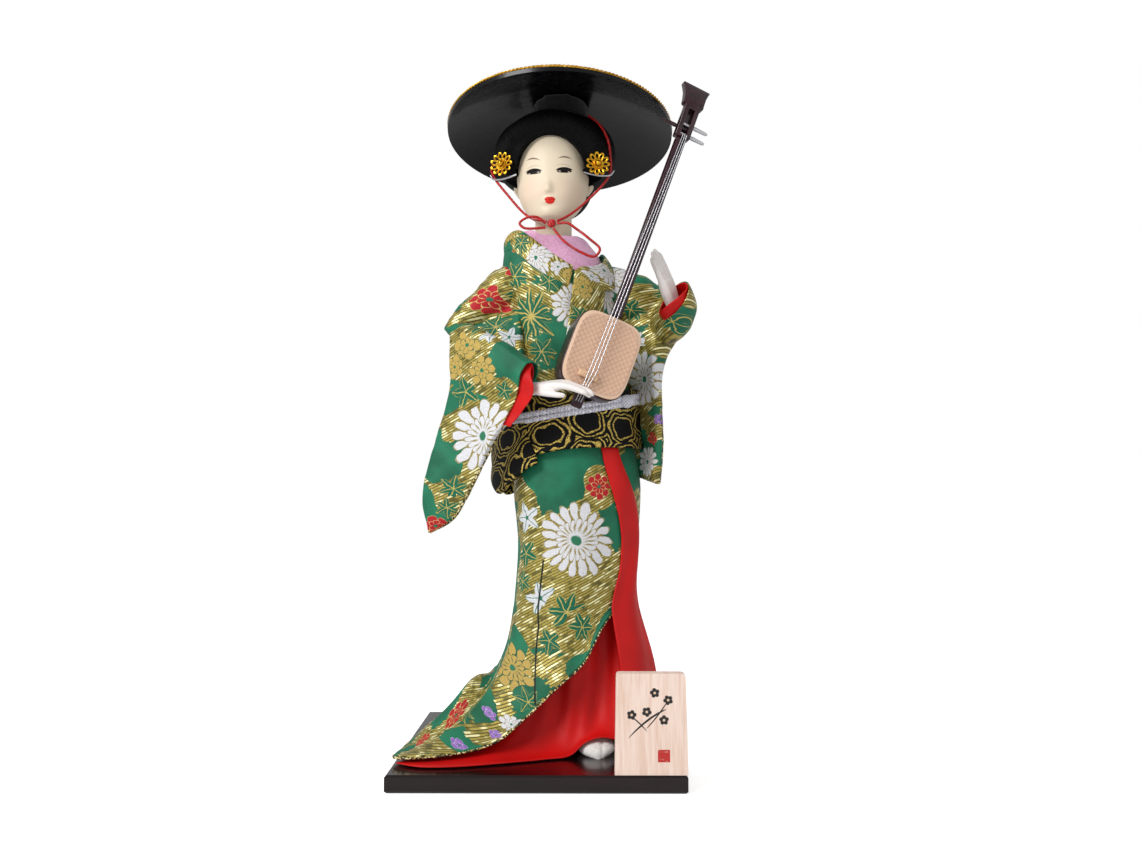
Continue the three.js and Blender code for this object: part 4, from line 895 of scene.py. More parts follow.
def under_point(u, v):
    top = body_point(math.radians(mix(-70, 118, u)) - BODY_TURN, 4 - KNEE, -0.9)
    low = under_hem.point(u)
    right = ease(0.5, 0.75, u)
    out = v ** mix(2.4, 1.35, right)
    down = 1 - (1 - v) ** mix(1.9, 1.25, right)
    swing = math.sin(math.pi * v) * ease(0.08, 0.2, u)
    fold = 1.1 * math.sin(26 * u) * swing + 0.5 * math.sin(61 * u + 2 * v) * swing
    z = mix(top.z, FLOOR + low.z + 1.2, down)
    return Vector((mix(top.x, low.x, out), mix(top.y, low.y, out) + fold, z))


under = cloth_grid("under", under_point, 120, 40, flip=True)
thicken(under, LINING)
finish_piece(under, "under_skirt_silk", lining_red, "doll", "red_satin", ["under_skirt"])


def facing_point(u, v):
    left = mix(29, 47, ease(0, 0.45, v)) - 9 * ease(0.5, 0.72, v)
    right = mix(47, 84, ease(0, 0.45, v))
    t = mix(SKIRT_TOP - 1, -KNEE - 32, v)
    flare = 9 * ease(-KNEE + 10, -KNEE - 38, t)
    roll = 0.9 * math.sin(math.pi * u) + 0.5 * math.sin(9 * u + 5 * v) * ease(0.1, 0.4, v)
    return body_point(math.radians(mix(left, right, u)) - BODY_TURN, t, CLOTH + GAP + 1.0 + flare + roll)


facing = cloth_grid("facing", facing_point, 24, 70)
thicken(facing, LINING)
finish_piece(facing, "skirt_facing_silk", lining_red, "doll", "red_satin", ["skirt_facing"])

# %% [markdown]
# ## Bodice and collars
# The bodice is one tube of brocade, closed high at the back and open in a shallow V in front. A pink
# collar fills the V up to the neck, and two brocade bands edge it: one ends under the other.

# %% Bodice
def neckline(q):
    a = abs(math.degrees(math.atan2(math.sin(q), math.cos(q))))
    return 84 + 14.5 * ease(0, 78, a) - 3 * ease(110, 180, a)


def bodice_face(u, v):
    q = math.pi - 2 * math.pi * u
    crease = 0.5 * math.sin(q * 9 + 6 * v) * math.sin(math.pi * v) * ease(0.1, 0.5, v)
    return body_point(q, mix(SKIRT_TOP + 1.5, neckline(q), v), CLOTH + crease)


def inner_face(u, v):
    q = -2 * math.pi * u
    g = -0.9
    low = neckline(q) - 5
    if v < 0.4:
        return body_point(q, mix(low, neckline(q) + 0.5, v / 0.4), g)
    edge = body_point(q, neckline(q) + 0.5, g)
    turn = q + BODY_TURN
    r = NECK_RADIUS + 3 + g
    neck = Vector((NECK_X + r * math.sin(turn), -r * math.cos(turn), 103.5 - 2 * math.cos(turn)))
    s = (v - 0.4) / 0.6
    wrinkle = 0.35 * math.sin(turn * 5 + 9 * s) * math.sin(math.pi * s)
    return edge.lerp(neck, s) + Vector((0, 0, 1.6 * math.sin(math.pi * s) + wrinkle))


bodice_silk = brocade(
    "bodice_silk",
    [(34.6, -75.0, 8.0, 6, 0.1, LEAF), (27.0, -56.0, 14.0, 11, 0.2, LEAF),
     (5.5, -61.0, 12.0, 16, 0.1, WHITE),
     (-13.0, -71.0, 14.0, 16, 0.2, WHITE), (33.0, -90.0, 5.0, 6, 0.3, RED), (16.0, -72.0, 6.0, 6, 0.2, LEAF),
     (22.0, -40.0, 7.0, 6, 0.1, LEAF)],
    patches=[(30, -66, 16, 14, 0.2), (14, -45, 8, 6, -0.3), (14, -75, 6, 8, -0.25)],
    lean=-1.0, shift=(13.0, 7.0), scatter=24.0, own=(-24, 46),
)
bodice = cloth_grid("bodice", bodice_face, 120, 50, start=0.5, loop=True)
thicken(bodice, SILK)
finish_piece(bodice, "bodice_silk", bodice_silk, "doll", "brocade", ["bodice"])
collar = cloth_grid("inner", inner_face, 96, 30, loop=True)
thicken(collar, LINING)
finish_piece(collar, "inner_collar_silk", pink_silk, "doll", "pink_crepe", ["inner_collar"])


# %% Collar bands
def collar_band(turn_at, high_at, lift_at, width, shift):
    def point(u, v):
        a, b = clamp(u - 0.01, 0, 1), clamp(u + 0.01, 0, 1)
        slope = high_at(b) - high_at(a)
        run = math.radians(turn_at(b) - turn_at(a)) * 20
        size = math.hypot(slope, run)
        across = (v - 0.5) * width + shift
        roll = 0.7 * math.sin(math.pi * v)
        q = math.radians(turn_at(u)) - across * slope / size / 20
        return body_point(q, high_at(u) + across * run / size, lift_at(u) + roll)
    return point


def under_turn(u):
    return mix(-174, -6, u)


def over_turn(u):
    return mix(174, 4, u / 0.65) if u < 0.65 else mix(4, -22, (u - 0.65) / 0.35)


def under_high(u):
    return neckline(math.radians(under_turn(u))) - 1.5


def over_high(u):
    return neckline(math.radians(over_turn(u))) - 1.5 if u < 0.65 else mix(82.5, 33, (u - 0.65) / 0.35)


collar_silk = brocade(
    "collar_silk",
    [(55.0, -4.0, 8.5, 12, 0.1, WHITE), (66.0, -6.0, 4.5, 8, 0.2, WHITE), (74.0, -4.5, 6.0, 8, 0.1, GOLD),
     (45.0, -5.0, 5.5, 6, 0.2, LEAF), (88.0, -5.0, 6.0, 6, 0.2, LEAF), (100.0, -4.0, 9.0, 12, 0.2, WHITE)],
    patches=[(62, -5, 22, 14, 0.3), (96, -5, 16, 14, 0.2)], shift=(31.0, 3.0), scatter=14.0, own=(40, 120),
)
for label, turn_at, high_at, lift, flip, shift in (
    ("collar_under", under_turn, under_high, lambda u: CLOTH + GAP + 0.9, False, -2.1),
    ("collar_over", over_turn, over_high, lambda u: CLOTH + GAP + 0.9 + 1.4 * ease(0.4, 0.58, u), True, 2.1),
):
    band = cloth_grid(label, collar_band(turn_at, high_at, lift, 10.8, shift), 90, 14, flip=flip)
    thicken(band, 0.9)
    finish_piece(band, label + "_silk", collar_silk, "doll", "brocade", [label])

# %% [markdown]
# ## Sash
# A broad stiff band goes round the waist, with a pale cord tied over it in front and a soft drum bow
# at the back. The drum is stuffed; its loose end hangs below it.

# %% Sash band
SASH_IN = CLOTH + 2 * GAP + 1.3
SASH_OUT = SASH_IN + 2.2


def sash_low(q):
    return 3.5 - 4 * ((1 - math.sin(q)) / 1.87) ** 5


def sash_high(q):
    return 27.5 + (5 if math.sin(q) > 0 else 1.5) * math.sin(q)


def sash_face(u, v):
    q = math.pi - 2 * math.pi * u
    bulge = 0.5 * math.sin(math.pi * v) + 0.3 * math.sin(6.3 * v + 3 * q)
    return body_point(q, mix(sash_low(q), sash_high(q), v), SASH_OUT - 0.2 + bulge * math.sin(math.pi * v))


sash = cloth_grid("sash", sash_face, 120, 24, start=0.5, loop=True)
thicken(sash, SASH)
finish_piece(sash, "obi_silk", sash_finish, "doll", "sash_brocade", ["obi_band"])

# %% [markdown]
# The sash cord is a flat double braid. Each half is a plump plait: its radius swells once per stitch,
# and a slanting pattern in the finish crosses from strand to strand; its grooves are darkened with painted
# shade.

# %% Sash cord
def braid_finish(name, deep, light, pitch):
    finish, g, shader = new_finish(name, Sheen_Weight=0.2, Roughness=0.7)
    at = g.on_cloth("cloth")
    ax, ay, _ = g.axes(at)
    left = g.math("SINE", g.times(g.plus(ax, ay), 2 * math.pi / pitch))
    right = g.math("SINE", g.times(g.minus(ax, ay), 2 * math.pi / pitch))
    plait = g.math("MAXIMUM", left, right)
    # painted shade: the grooves between strands take the deeper colour, the tops of the strands the lighter
    # one
    g.put(shader["Base Color"], g.mix(g.step(plait, -0.2, 0.9), deep, light))
    g.put(shader["Normal"], g.bump(plait, 0.7, 0.0004))
    return finish


obi_braid = braid_finish("obi_braid", rgb(186, 184, 206), rgb(246, 246, 254), 1.6)


def cord_row(offset, radius):
    def point(u, v):
        q = math.radians(mix(112, -112, u))
        ring = 2 * math.pi * v
        fat = radius * (1 + 0.06 * math.sin(u * 260))
        return body_point(q, 22 + 6 * math.sin(q) + offset + fat * math.sin(ring),
                          SASH_OUT + GAP + 1.5 + 0.9 * fat * math.cos(ring))
    return point


rows = [weld(cloth_grid("row", cord_row(offset, 1.4), 150, 12), cap=True) for offset in (-1.25, 1.25)]
finish_piece(join(rows), "obi_braid_cord", obi_braid, "doll", "white_braid", ["obi_cord"])

knot_at = body_point(math.radians(26), 24.6, SASH_OUT + 2 * GAP + 3.6)
bpy.ops.mesh.primitive_uv_sphere_add(segments=24, ring_count=14, radius=3.2 * MM)
knot = bpy.context.object
knot.data.uv_layers[0].name = "cloth"
for loop in knot.data.uv_layers[0].data:
    loop.uv = (loop.uv[0] * 0.2, loop.uv[1] * 0.1)
place(knot, Matrix.Translation(to_frame(knot_at)) @ Matrix.Diagonal((1, 0.5, 0.95, 1)))
finish_piece(knot, "obi_braid_knot", obi_braid, "doll", "white_braid", ["obi_knot"])

# %% Sash bow at the back
def drum_face(u, v):
    x = mix(-29, 25, u)
    end = math.sqrt(max(0, 1 - ((u - 0.5) * 2 / 1.15) ** 2))
    a = 2 * math.pi * v
    c, s = math.cos(a), math.sin(a)
    cy = math.copysign(abs(c) ** 0.6, c)
    sz = math.copysign(abs(s) ** 0.6, s)
    pucker = 0.6 * math.sin(11 * v * 2 * math.pi) * abs(u - 0.5) ** 2
    return Vector((x, 5.6 * mix(0.7, 1, end) * cy + pucker, 19 * mix(0.86, 1, end) * sz))


def on_back(p, t):
    spot = body_point(math.pi, 12, SASH_OUT + GAP + 6.2)
    turned_by = Matrix.Rotation(BODY_TURN, 3, "Z") @ Vector(p)
    return Vector((spot.x + turned_by.x, spot.y + turned_by.y, t + turned_by.z))


drum = weld(cloth_grid("drum", lambda u, v: on_back(drum_face(u, v), 12), 60, 48), cap=True)
finish_piece(drum, "obi_drum_silk", sash_finish, "doll", "sash_brocade", ["obi_drum"], angle=50)
tail = cloth_grid("tail", lambda u, v: on_back(
    (mix(-28, 20, u), 3.2 - 2 * ((u - 0.5) * 2) ** 2 + 1.5 * v + 0.5 * math.sin(9 * u) * v,
     mix(-1, -3 - 14 * ease(0, 0.13, u) * (1 - 0.4 * ease(0.16, 0.4, u)), v)), 0), 60, 20)


def flap_face(u, v):
    """The sash's end comes round the side from the bow and hangs in a soft fold."""
    low = -7 - 10 * bell(u, 0.45, 0.27) + 3 * ease(0.7, 1, u)
    end = mix(-0.36, -0.29, ease(0, 1, v))
    out = SASH_OUT + GAP + 1.6 + 6 * (1 - ease(0.05, 0.75, u)) + 0.6 * math.sin(9 * u + 2 * v) * v
    return body_point(math.pi * mix(-0.72, end, u), mix(15, low, v), out)


tail = join([tail, cloth_grid("flap", flap_face, 40, 24)])
thicken(tail, SASH, offset=0.0)
finish_piece(tail, "obi_tail_silk", sash_finish, "doll", "sash_brocade", ["obi_tail"])

# %% [markdown]
# ## Sleeves
# A kimono sleeve is a flat bag that hangs under the arm. Each bag is drawn between four edges, front and
# back; the two faces meet at the folded edges, and the mouth at the hand stays open. A wall is then
# given to the skin. The pattern is laid on by a flat projection along the bag, as printed cloth shows it.

# %% Sleeve bags
LIP_REACH, LIP_DROP = 40, 0.55      # how far and how steeply a lining hangs out of its sleeve


def bag(edges, way, thick, fold, shut):
    """shut(s) is 0 where front and back meet and 1 where the bag has its full thickness."""
    normal = Vector((way[1], -way[0], 0)).normalized()

    def face(side, grow, s, t):
        at = min(s, 1)
        p = edges["top"].at(at) * (1 - t) + edges["bottom"].at(at) * t
        p += edges["back"].at(t) * (1 - at) + edges["front"].at(t) * at
        p -= edges["top"].at(0) * ((1 - at) * (1 - t)) + edges["top"].at(1) * (at * (1 - t))
        p -= edges["bottom"].at(0) * ((1 - at) * t) + edges["bottom"].at(1) * (at * t)
        p += normal * (fold(at, t) + side * (thick(at, t) / 2 + grow) * shut(at))
        if s > 1:
            p += Vector((way[0], way[1], -LIP_DROP)) * ((s - 1) * LIP_REACH)
        return p
    return face


def whole_bag(face, nu, nv):
    """Front and back of a bag as one skin, joined along the folds."""
    def ring(u, v):
        side = 1 if v < 0.5 else -1
        t = v * 2 if v < 0.5 else (1 - v) * 2
        fat = min(1, math.sqrt(max(0, min(t, 1 - t)) / 0.03))
        front, back = face(1, 0, u, t), face(-1, 0, u, t)
        return front.lerp(back, 0.5 - 0.5 * side * fat)
    return weld(cloth_grid("bag", ring, nu, nv * 2))


def flat_uv(obj, way, origin, name="cloth"):
    """Lays the pattern on along the bag: lengths across and down from an origin."""
    mesh = obj.data
    while mesh.uv_layers:
        mesh.uv_layers.remove(mesh.uv_layers[0])
    layer = mesh.uv_layers.new(name=name)
    a = Vector(way)
    for loop in mesh.loops:
        p = mesh.vertices[loop.vertex_index].co - origin
        layer.data[loop.index].uv = (p.dot(a) * UV_METRE, p.z * UV_METRE)


def crumple(obj, amount, size, seed):
    """Small soft dents along the normals."""
    ways = [vert.normal.copy() for vert in obj.data.vertices]
    for vert, way in zip(obj.data.vertices, ways):
        p = vert.co / MM
        n = noise.noise(Vector((p.x / size + seed, p.y / size, p.z / size)))
        n += 0.5 * noise.noise(Vector((p.x / size * 2.3, p.y / size * 2.3 + seed, p.z / size * 2.3)))
        vert.co += way * (n * amount * MM)


right_edges = {
    "top": Route((-41, -13, 62.5), (-28, -23.5, 57), (-13.6, -34, 47.8), (-2.4, -42, 38.8)),
    "front": Route((-2.4, -42, 38.8), (-5.8, -41, 29.5), (-9.8, -38.8, 21.8), (-15.1, -36, 12.4)),
    "bottom": Route((-49, -17, -34), (-39, -20.5, -28.4), (-29.7, -25, -13), (-15.1, -36, 12.4)),
    "back": Route((-41, -13, 62.5), (-40.5, -14.5, 31), (-45.7, -15.5, 11.7), (-51.8, -17, -18.3),
                  (-49, -17, -34)),
}
right_bag = bag(
    right_edges, (0.8, -0.6),
    lambda s, t: (3 + 8.5 * bell(t, 0.2, 0.22)) * mix(0.75, 1, ease(0, 0.3, s)),
    lambda s, t: 1.6 * math.sin(6 * s + 2.5 * t) * ease(0.25, 1, t) * (1 - ease(0.8, 1, s)),
    lambda s: min(1, math.sqrt(s / 0.05)),
)
left_edges = {
    "top": Route((36, 6, 72), (50, 0, 68), (63, -6, 60)),
    "front": Route((63, -6, 60), (55.8, -9.5, 48), (53.7, -10, 39), (54, -10.5, 22), (54.8, -10.5, 3),
                   (53.6, -9.5, -12)),
    "bottom": Route((41.2, 9, -7), (48.5, -1, -10), (53.6, -9.5, -12)),
    "back": Route((36, 6, 72), (39, 11, 48), (39, 12, 33), (41.2, 9, -7)),
}
left_bag = bag(
    left_edges, (0.68, -0.73),
    lambda s, t: 4 + 9 * bell(t, 0.08, 0.2),
    lambda s, t: 1.2 * math.sin(5 * s + 3 * t) * ease(0.25, 1, t),
    lambda s: min(1, math.sqrt(max(0, min(s, 1 - s)) / 0.06)),
)
print("sleeve mouths:", round(right_edges["front"].length), round(left_edges["front"].length), "mm")

# %% Right sleeve
web_upper = Route((-40, -13.5, 59.5), (-26, -12, 68), (-9, -9.5, 77))
web_lower = Route((-40, -12.5, 54), (-25, -17.5, 49), (-8, -23, 41))


def web_face(side, s, t):
    p = web_upper.at(s).lerp(web_lower.at(s), t)
    swell = 2.2 * math.sin(math.pi * t) * ease(0, 0.4, s) + 1.0 * math.sin(11 * t + 2 * s) * s
    return p + Vector((-0.21, -0.84, 0.5)) * (side * 2.4 + swell - 1.6)


def web():
    """The shoulder cloth as a thick pad, for melting together with the tube of the arm."""
    def ring(u, v):
        side = 1 if v < 0.5 else -1
        return web_face(side, u, v * 2 if v < 0.5 else (1 - v) * 2)
    return weld(cloth_grid("web", ring, 30, 40), cap=True)


upper_line = Route((-6, -4, 79), (-15, -7, 78), (-24, -10, 70.5), (-33, -13, 63.5), (-39, -14, 58.5),
                   (-41.5, -14.5, 55.5))
upper_radii = [[0, 10], [0.2, 10.5], [0.42, 9.2], [0.66, 7.6], [0.85, 5.6], [1, 3.5]]
upper_arm = fuse(join([
    tube(upper_line.spaced(30), [along(upper_radii, k / 30)[0] for k in range(31)], 32),
    web(),
]), 0.7, smooth=5)
crumple(upper_arm, 0.6, 7.0, 4.0)
thicken(upper_arm, SLEEVE, smooth=0)
hanging = whole_bag(right_bag, 64, 72)
crumple(hanging, 0.4, 9.0, 2.0)
thicken(hanging, SLEEVE, smooth=0)
right_sleeve = join([hanging, upper_arm])
flat_uv(right_sleeve, (0.68, -0.51, 0), to_frame(right_edges["top"].at(0)))
right_silk = brocade(
    "right_sleeve_silk",
    [(20.1, -54.4, 17.0, 16, 0.1, WHITE), (11.9, -34.6, 7.5, 5, 0.2, LEAF), (12.8, -14.0, 8.0, 6, 0.1, GOLD),
     (20.8, -26.0, 7.5, 8, 0.3, GOLD), (6.0, -23.0, 6.0, 6, 0.2, GOLD), (30.6, -35.5, 5.0, 5, 0.1, LEAF),
     (6.8, -77.0, 6.0, 6, 0.2, LEAF), (4.2, -85.5, 5.0, 6, 0.0, LEAF), (-0.4, -93.5, 5.0, 5, 0.2, RED),
     (15.0, 8.0, 8.0, 8, 0.2, RED), (17.0, -4.5, 6.5, 7, 0.1, LEAF), (22.1, -9.5, 5.0, 5, 0.3, STAR),
     (25.5, 12.0, 7.5, 6, 0.2, LEAF), (22.1, 24.0, 6.0, 6, 0.1, RED)],
    patches=[(11.9, -17, 15, 12, 0.35), (22.9, -29, 12, 8, 0.3), (30.6, -37, 8, 7, 0.3),
             (19.6, -54, 18, 17, 0.2),
             (32.3, -20, 9, 7, -0.6), (2.5, -66, 8, 9, -0.5), (6.0, -80, 7, 9, 0.3),
             (18.7, 10, 16, 10, 0.2)],
    shift=(5.0, 21.0),
)
lower = [right_edges["bottom"].at(k / 40) for k in range(41)]
right_sleeve = piped(right_sleeve, right_silk, [(lower, False)], 0.45)
finish_piece(right_sleeve, "right_sleeve_silk", None, "doll", "brocade", ["right_sleeve"], angle=60)


def right_cuff_face(u, v):
    a = 2 * math.pi * v
    t = mix(0.03, 0.985, 0.5 - 0.5 * math.cos(a))
    near_lip = ease(-0.3, 0.3, math.sin(a))
    reach = mix(1.0, 1 + 0.17 * ease(0, 0.3, t) - 0.09 * ease(0.3, 1, t), near_lip)
    s = mix(0.74, reach, u)
    wave = 0.35 * math.sin(7 * a + 2) * ease(0.6, 1, u)
    front = right_bag(1, -0.95 + wave, s, t)
    back = right_bag(-1, -0.95, s, t)
    return back.lerp(front, 0.5 + 0.5 * math.sin(a))


right_cuff = weld(cloth_grid("cuff", right_cuff_face, 30, 72))
thicken(right_cuff, SLEEVE)
finish_piece(right_cuff, "right_cuff_silk", lining_red, "doll", "red_satin", ["right_cuff"], angle=60)

# %% Left sleeve
arm_line = Route((18, 9, 80), (31, 6, 78), (44, 4, 74), (52, 3, 71), (57, 1, 68))
arm_radii = [[0, 11.5], [0.3, 12.8], [0.65, 12.2], [0.9, 9], [1, 6]]
arm_tube = tube(arm_line.spaced(40), [along(arm_radii, k / 40)[0] for k in range(41)], 40)
crumple(arm_tube, 0.7, 8.0, 5.0)
thicken(arm_tube, SLEEVE, smooth=0)
# the forearm bends at the elbow toward the front, then its mouth turns to the upper left
fore_line = Route((52, 3, 70.5), (59, -2.5, 65.2), (61.2, -9.5, 65), (61.2, -15.5, 67.3), (60.2, -19, 70))
fore_ways = Route((0.75, -0.35, -0.45), (0.5, -0.8, -0.3), (-0.05, -0.98, 0.2), (-0.45, -0.75, 0.45),
                  (-0.74, -0.5, 0.43))
MOUTH = Vector((0.5, 0, 0.86))


def fore_ring(at, a, shrink):
    way = fore_ways.at(at).normalized()
    one = (MOUTH - way * MOUTH.dot(way)).normalized()
    two = way.cross(one)
    c, s = math.cos(a), math.sin(a)
    low = 1 + 0.6 * bell(at, 0.45, 0.3) * (1 - ease(0.8, 1, at)) * max(0, -c)
    r = mix(11, 9.8, at) - shrink
    fold = 0.35 * math.sin(3 * a + 14 * at) * math.sin(math.pi * at)
    return fore_line.at(at) + one * ((r + fold) * low * c) + two * ((r + fold) * 0.9 * s)


forearm = weld(cloth_grid("forearm", lambda u, v: fore_ring(u, 2 * math.pi * v, 0), 40, 64))
thicken(forearm, SLEEVE, smooth=0)
hanging = whole_bag(left_bag, 48, 72)
crumple(hanging, 0.4, 9.0, 7.0)
thicken(hanging, SLEEVE, smooth=0)
left_sleeve = join([hanging, arm_tube, forearm])
flat_uv(left_sleeve, (0.74, -0.67, 0), to_frame(left_edges["top"].at(0)))
left_silk = brocade(
    "left_sleeve_silk",
    [(12.0, -20.0, 8.0, 10, 0.2, WHITE), (16.0, -36.0, 14.0, 14, 0.1, WHITE),
     (20.5, -64.0, 4.0, 6, 0.1, RED),
     (25.0, -55.0, 3.0, 5, 0.1, PURPLE), (35.0, -12.0, 7.0, 6, 0.2, LEAF), (12.0, -4.0, 6.0, 6, 0.1, LEAF),
     (17.0, -74.0, 8.0, 12, 0.3, WHITE), (24.0, 6.0, 6.0, 6, 0.3, LEAF), (4.0, 10.0, 9.0, 12, 0.1, WHITE)],
    patches=[(18, -30, 20, 36, 0.2), (22, -70, 10, 6, -0.3)], clouds=0.5, shift=(27.0, 11.0),
)
front_edge = [left_edges["front"].at(0.18 + 0.82 * k / 40) for k in range(41)]
lower = [left_edges["bottom"].at(1 - k / 20) for k in range(1, 21)]
left_sleeve = piped(left_sleeve, left_silk, [(front_edge + lower, False)], 0.5)
finish_piece(left_sleeve, "left_sleeve_silk", None, "doll", "brocade", ["left_sleeve"], angle=60)


def left_cuff_face(u, v):
    """From deep inside the forearm out to the mouth, then turned a little over its rim."""
    a = 2 * math.pi * v
    wave = 0.3 * math.sin(5 * a) * ease(0.5, 1, u)
    lip = ease(0.75, 1, u) * (0.6 + 4.6 * max(0, -math.cos(a - 0.75)))
    p = fore_ring(mix(0.55, 1, u), a, mix(4.2, 0.85, ease(0, 0.6, u)) + wave)
    return p + fore_ways.at(1).normalized() * lip


left_cuff = weld(cloth_grid("cuff", left_cuff_face, 30, 64))
thicken(left_cuff, SLEEVE)
finish_piece(left_cuff, "left_cuff_silk", lining_red, "doll", "red_satin", ["left_cuff"], angle=60)

# %% [markdown]
# ## Feet
# The doll wears split-toe socks of white cotton over small wooden feet. Rings along the foot swell to
# the ball and close at the toes, and the sole is pressed flat on the board.

# %% Feet
def foot_face(u, v):
    tip = math.sqrt(max(0, 1 - ease(0.6, 1.02, u) ** 1.6))
    wide = mix(5.4, 8.2, ease(0, 0.6, u)) * mix(0.05, 1, tip)
    high = mix(13, 6.4, ease(0.1, 0.8, u)) * mix(0.3, 1, tip)
    a = 2 * math.pi * v
    x = wide * math.sin(a)
    split = 0.9 * bell(x, 2.2, 0.7) * ease(0.55, 0.8, u)
    return Vector((x, mix(14, -14, u), max(0, high * (0.42 - 0.58 * math.cos(a)) - split)))


for label, x, y, turn in (("right_foot", 24, -20.5, 4), ("left_foot", 0.5, 1, -12)):
    spin = Matrix.Rotation(math.radians(turn), 3, "Z")
    body = cloth_grid(label, lambda u, v: spin @ foot_face(u, v) + Vector((x, y, FLOOR)), 40, 40)
    body = weld(body, cap=True)
    finish_piece(body, label + "_sock", tabi_white, "doll", "tabi", [label], angle=50)

# %% [markdown]
# ## Head
# The head is cast resin painted to look like powdered skin. It starts as a sphere: each point
# is set on the head's rows of measures, then the nose, lids, lips and chin are raised or pressed in.

# %% Head shape
HEAD = [
    [107.5, -11, 4.5, 5.5], [110, -8.6, 8.6, 9], [114, -6, 12, 12.2], [119, -4, 14.8, 14.8],
    [126, -2, 16.6, 16.8], [134, 0, 17.2, 18.2], [143, 1, 16.8, 18], [150, 1.5, 14, 15.5],
    [155, 2, 9.5, 10.5], [157.5, 2, 4, 4.5],
]
EYE_X, EYE_Z = 6.95, 130.2
MOUTH_Z = 116.2
HEAD_SPIN = Matrix.Rotation(HEAD_TURN, 3, "Z")


def from_head(p):
    """From the head's own axes to millimetres above the waist."""
    return HEAD_SPIN @ Vector(p) + Vector((NECK_X, 0, 0))


def relief(x, z):
    """How far the face stands out from the plain rows."""
    bridge = ease(131, 122, z) * ease(118.4, 120.8, z)
    out = (0.15 + 1.55 * ease(127, 121.4, z)) * bridge * bell(x, 0, mix(1.3, 2.0, ease(127, 121, z)))
    for side in (-1, 1):
        out -= 0.55 * bell(x, side * EYE_X, 4.4) * bell(z, EYE_Z + 0.6, 2.6)
        bulge = bell(x, side * EYE_X, 3.3) * bell(z, EYE_Z + 0.2, 1.9)
        slit = bell(x, side * EYE_X, 2.7) * bell(z, EYE_Z - 0.5 + 0.25 * bell(x, side * EYE_X, 2), 0.9)
        out += 0.8 * bulge - 0.75 * slit
        out += 0.3 * bell(x, side * EYE_X, 3.0) * bell(z, EYE_Z + 6.2, 1.8)
        out += 0.5 * bell(x, side * 8.0, 4.5) * bell(z, 119.5, 4.0)
    out += 0.75 * bell(x, 0, 2.3) * bell(z, MOUTH_Z, 1.5)
    out -= 0.3 * bell(x, 0, 2.6) * bell(z, MOUTH_Z + 0.05, 0.25)
    out -= 0.35 * bell(x, 0, 3.0) * bell(z, MOUTH_Z - 2.6, 0.9)
    out += 0.6 * bell(x, 0, 3.4) * bell(z, 110.8, 2.2)
    return out


deselect()
bpy.ops.mesh.primitive_uv_sphere_add(segments=224, ring_count=150, radius=1)
head = bpy.context.object
for vert in head.data.vertices:
    unit = vert.co.copy()
    z = mix(106.4, 158.6, (unit.z + 1) / 2)
    y0, wide, deep = along(HEAD, clamp(z, 107.5, 157.5))
    shut = 1.0
    if z < 109.5:
        shut = math.sqrt(max(0, 1 - ((109.5 - z) / 3.1) ** 2))
    if z > 156:
        shut = math.sqrt(max(0, 1 - ((z - 156) / 2.6) ** 2))
    level = math.hypot(unit.x, unit.y)
    sx, sy = (unit.x / level, unit.y / level) if level > 1e-6 else (0, 0)
    p = Vector((wide * shut * sx, y0 + deep * shut * sy, z))
    if sy < 0:
        p.y -= relief(p.x, z) * ease(0, -0.5, sy)
    vert.co = to_frame(from_head(p))
neck = tube([from_head((0, 0, z)) for z in (69.5, 75, 85.4)], 5, 32)
throat_points = [(85.5, 9.0), (92, 8.9), (100, 8.6), (108, 8.6), (116, 8.6)]
throat = tube([from_head((0, 0.0, z)) for z, r in throat_points], [r for z, r in throat_points], 48)
ears = []
for side in (-1, 1):
    ear = tube([from_head((side * 15.6, -0.5, 123.4)), from_head((side * 16.9, 0.0, 126.5)),
                from_head((side * 17.2, 0.4, 129.5)), from_head((side * 16.6, 0.6, 131.5))],
               [1.2, 1.9, 2.2, 1.4], 16)
    ears.append(ear)
head = join([head, neck, throat] + ears)
print("head before its paint:", len(head.data.polygons), "faces")

# %% [markdown]
# The paint sits in the finish, as it does on the doll: strokes for brows, lids and lips in object
# coordinates, and a breath of rouge on the cheeks. Two strokes are painted shade: a thin darker line in
# the crease of each upper lid, and a soft grey band at the hairline under the hair roll. The lips are two
# strokes that make a small bow.

# %% Face paint
face_paint, g, shader = new_finish("face_paint", Roughness=0.42, Specular_IOR_Level=0.2)
at = g.node("TexCoord").outputs["Object"]
_, py, _ = g.axes(g.vector("SCALE", at, scale=1000.0))
front = g.step(py, -6.0, -9.0)
skin = g.mix(g.noise(at, 90.0, 3.0), rgb(220, 204, 178), rgb(226, 212, 188))
paint = brush(g, at, front, 0.25)
EYES = ((-3.5, 264.85, -1), (10.5, 265.05, 1))
for x, z, side in EYES:
    skin = paint(rgb(226, 176, 160), skin, x + side * 1.0, 256.5, 6.5, 5.0, soft=0.95, strength=0.2)
    # painted shade: a thin darker line in the crease of the upper lid
    skin = paint(rgb(196, 170, 148), skin, x, z + 2.2, 3.7, 0.24, 0.8, 0.0, 0.6, 0.8)
    skin = paint(rgb(30, 15, 13), skin, x, z - 0.1, 3.35, 1.15, 0.25, 0.1 * side, 0.12)
    for corner in (-1, 1):
        skin = paint(rgb(206, 192, 182), skin, x + corner * 2.1, z - 0.35, 0.55, 0.34, 0.0, 0.0, 0.35, 0.7)
    skin = paint(rgb(6, 3, 3), skin, x, z, 1.5, 1.2, 0.2, 0.1 * side, 0.12)
    skin = paint(rgb(6, 3, 3), skin, x, z + 0.55, 3.8, 0.55, 0.6, 0.1 * side, 0.2)
    tilt = -0.2 if side < 0 else 0.06
    skin = paint(rgb(104, 80, 66), skin, x + side * 0.3, z + 6.0, 2.9, 0.38, 0.55, tilt, 0.8, 0.9)
skin = paint(rgb(204, 40, 30), skin, 3.05, 251.55, 1.5, 0.95, 0.0, 0.1, 0.12)
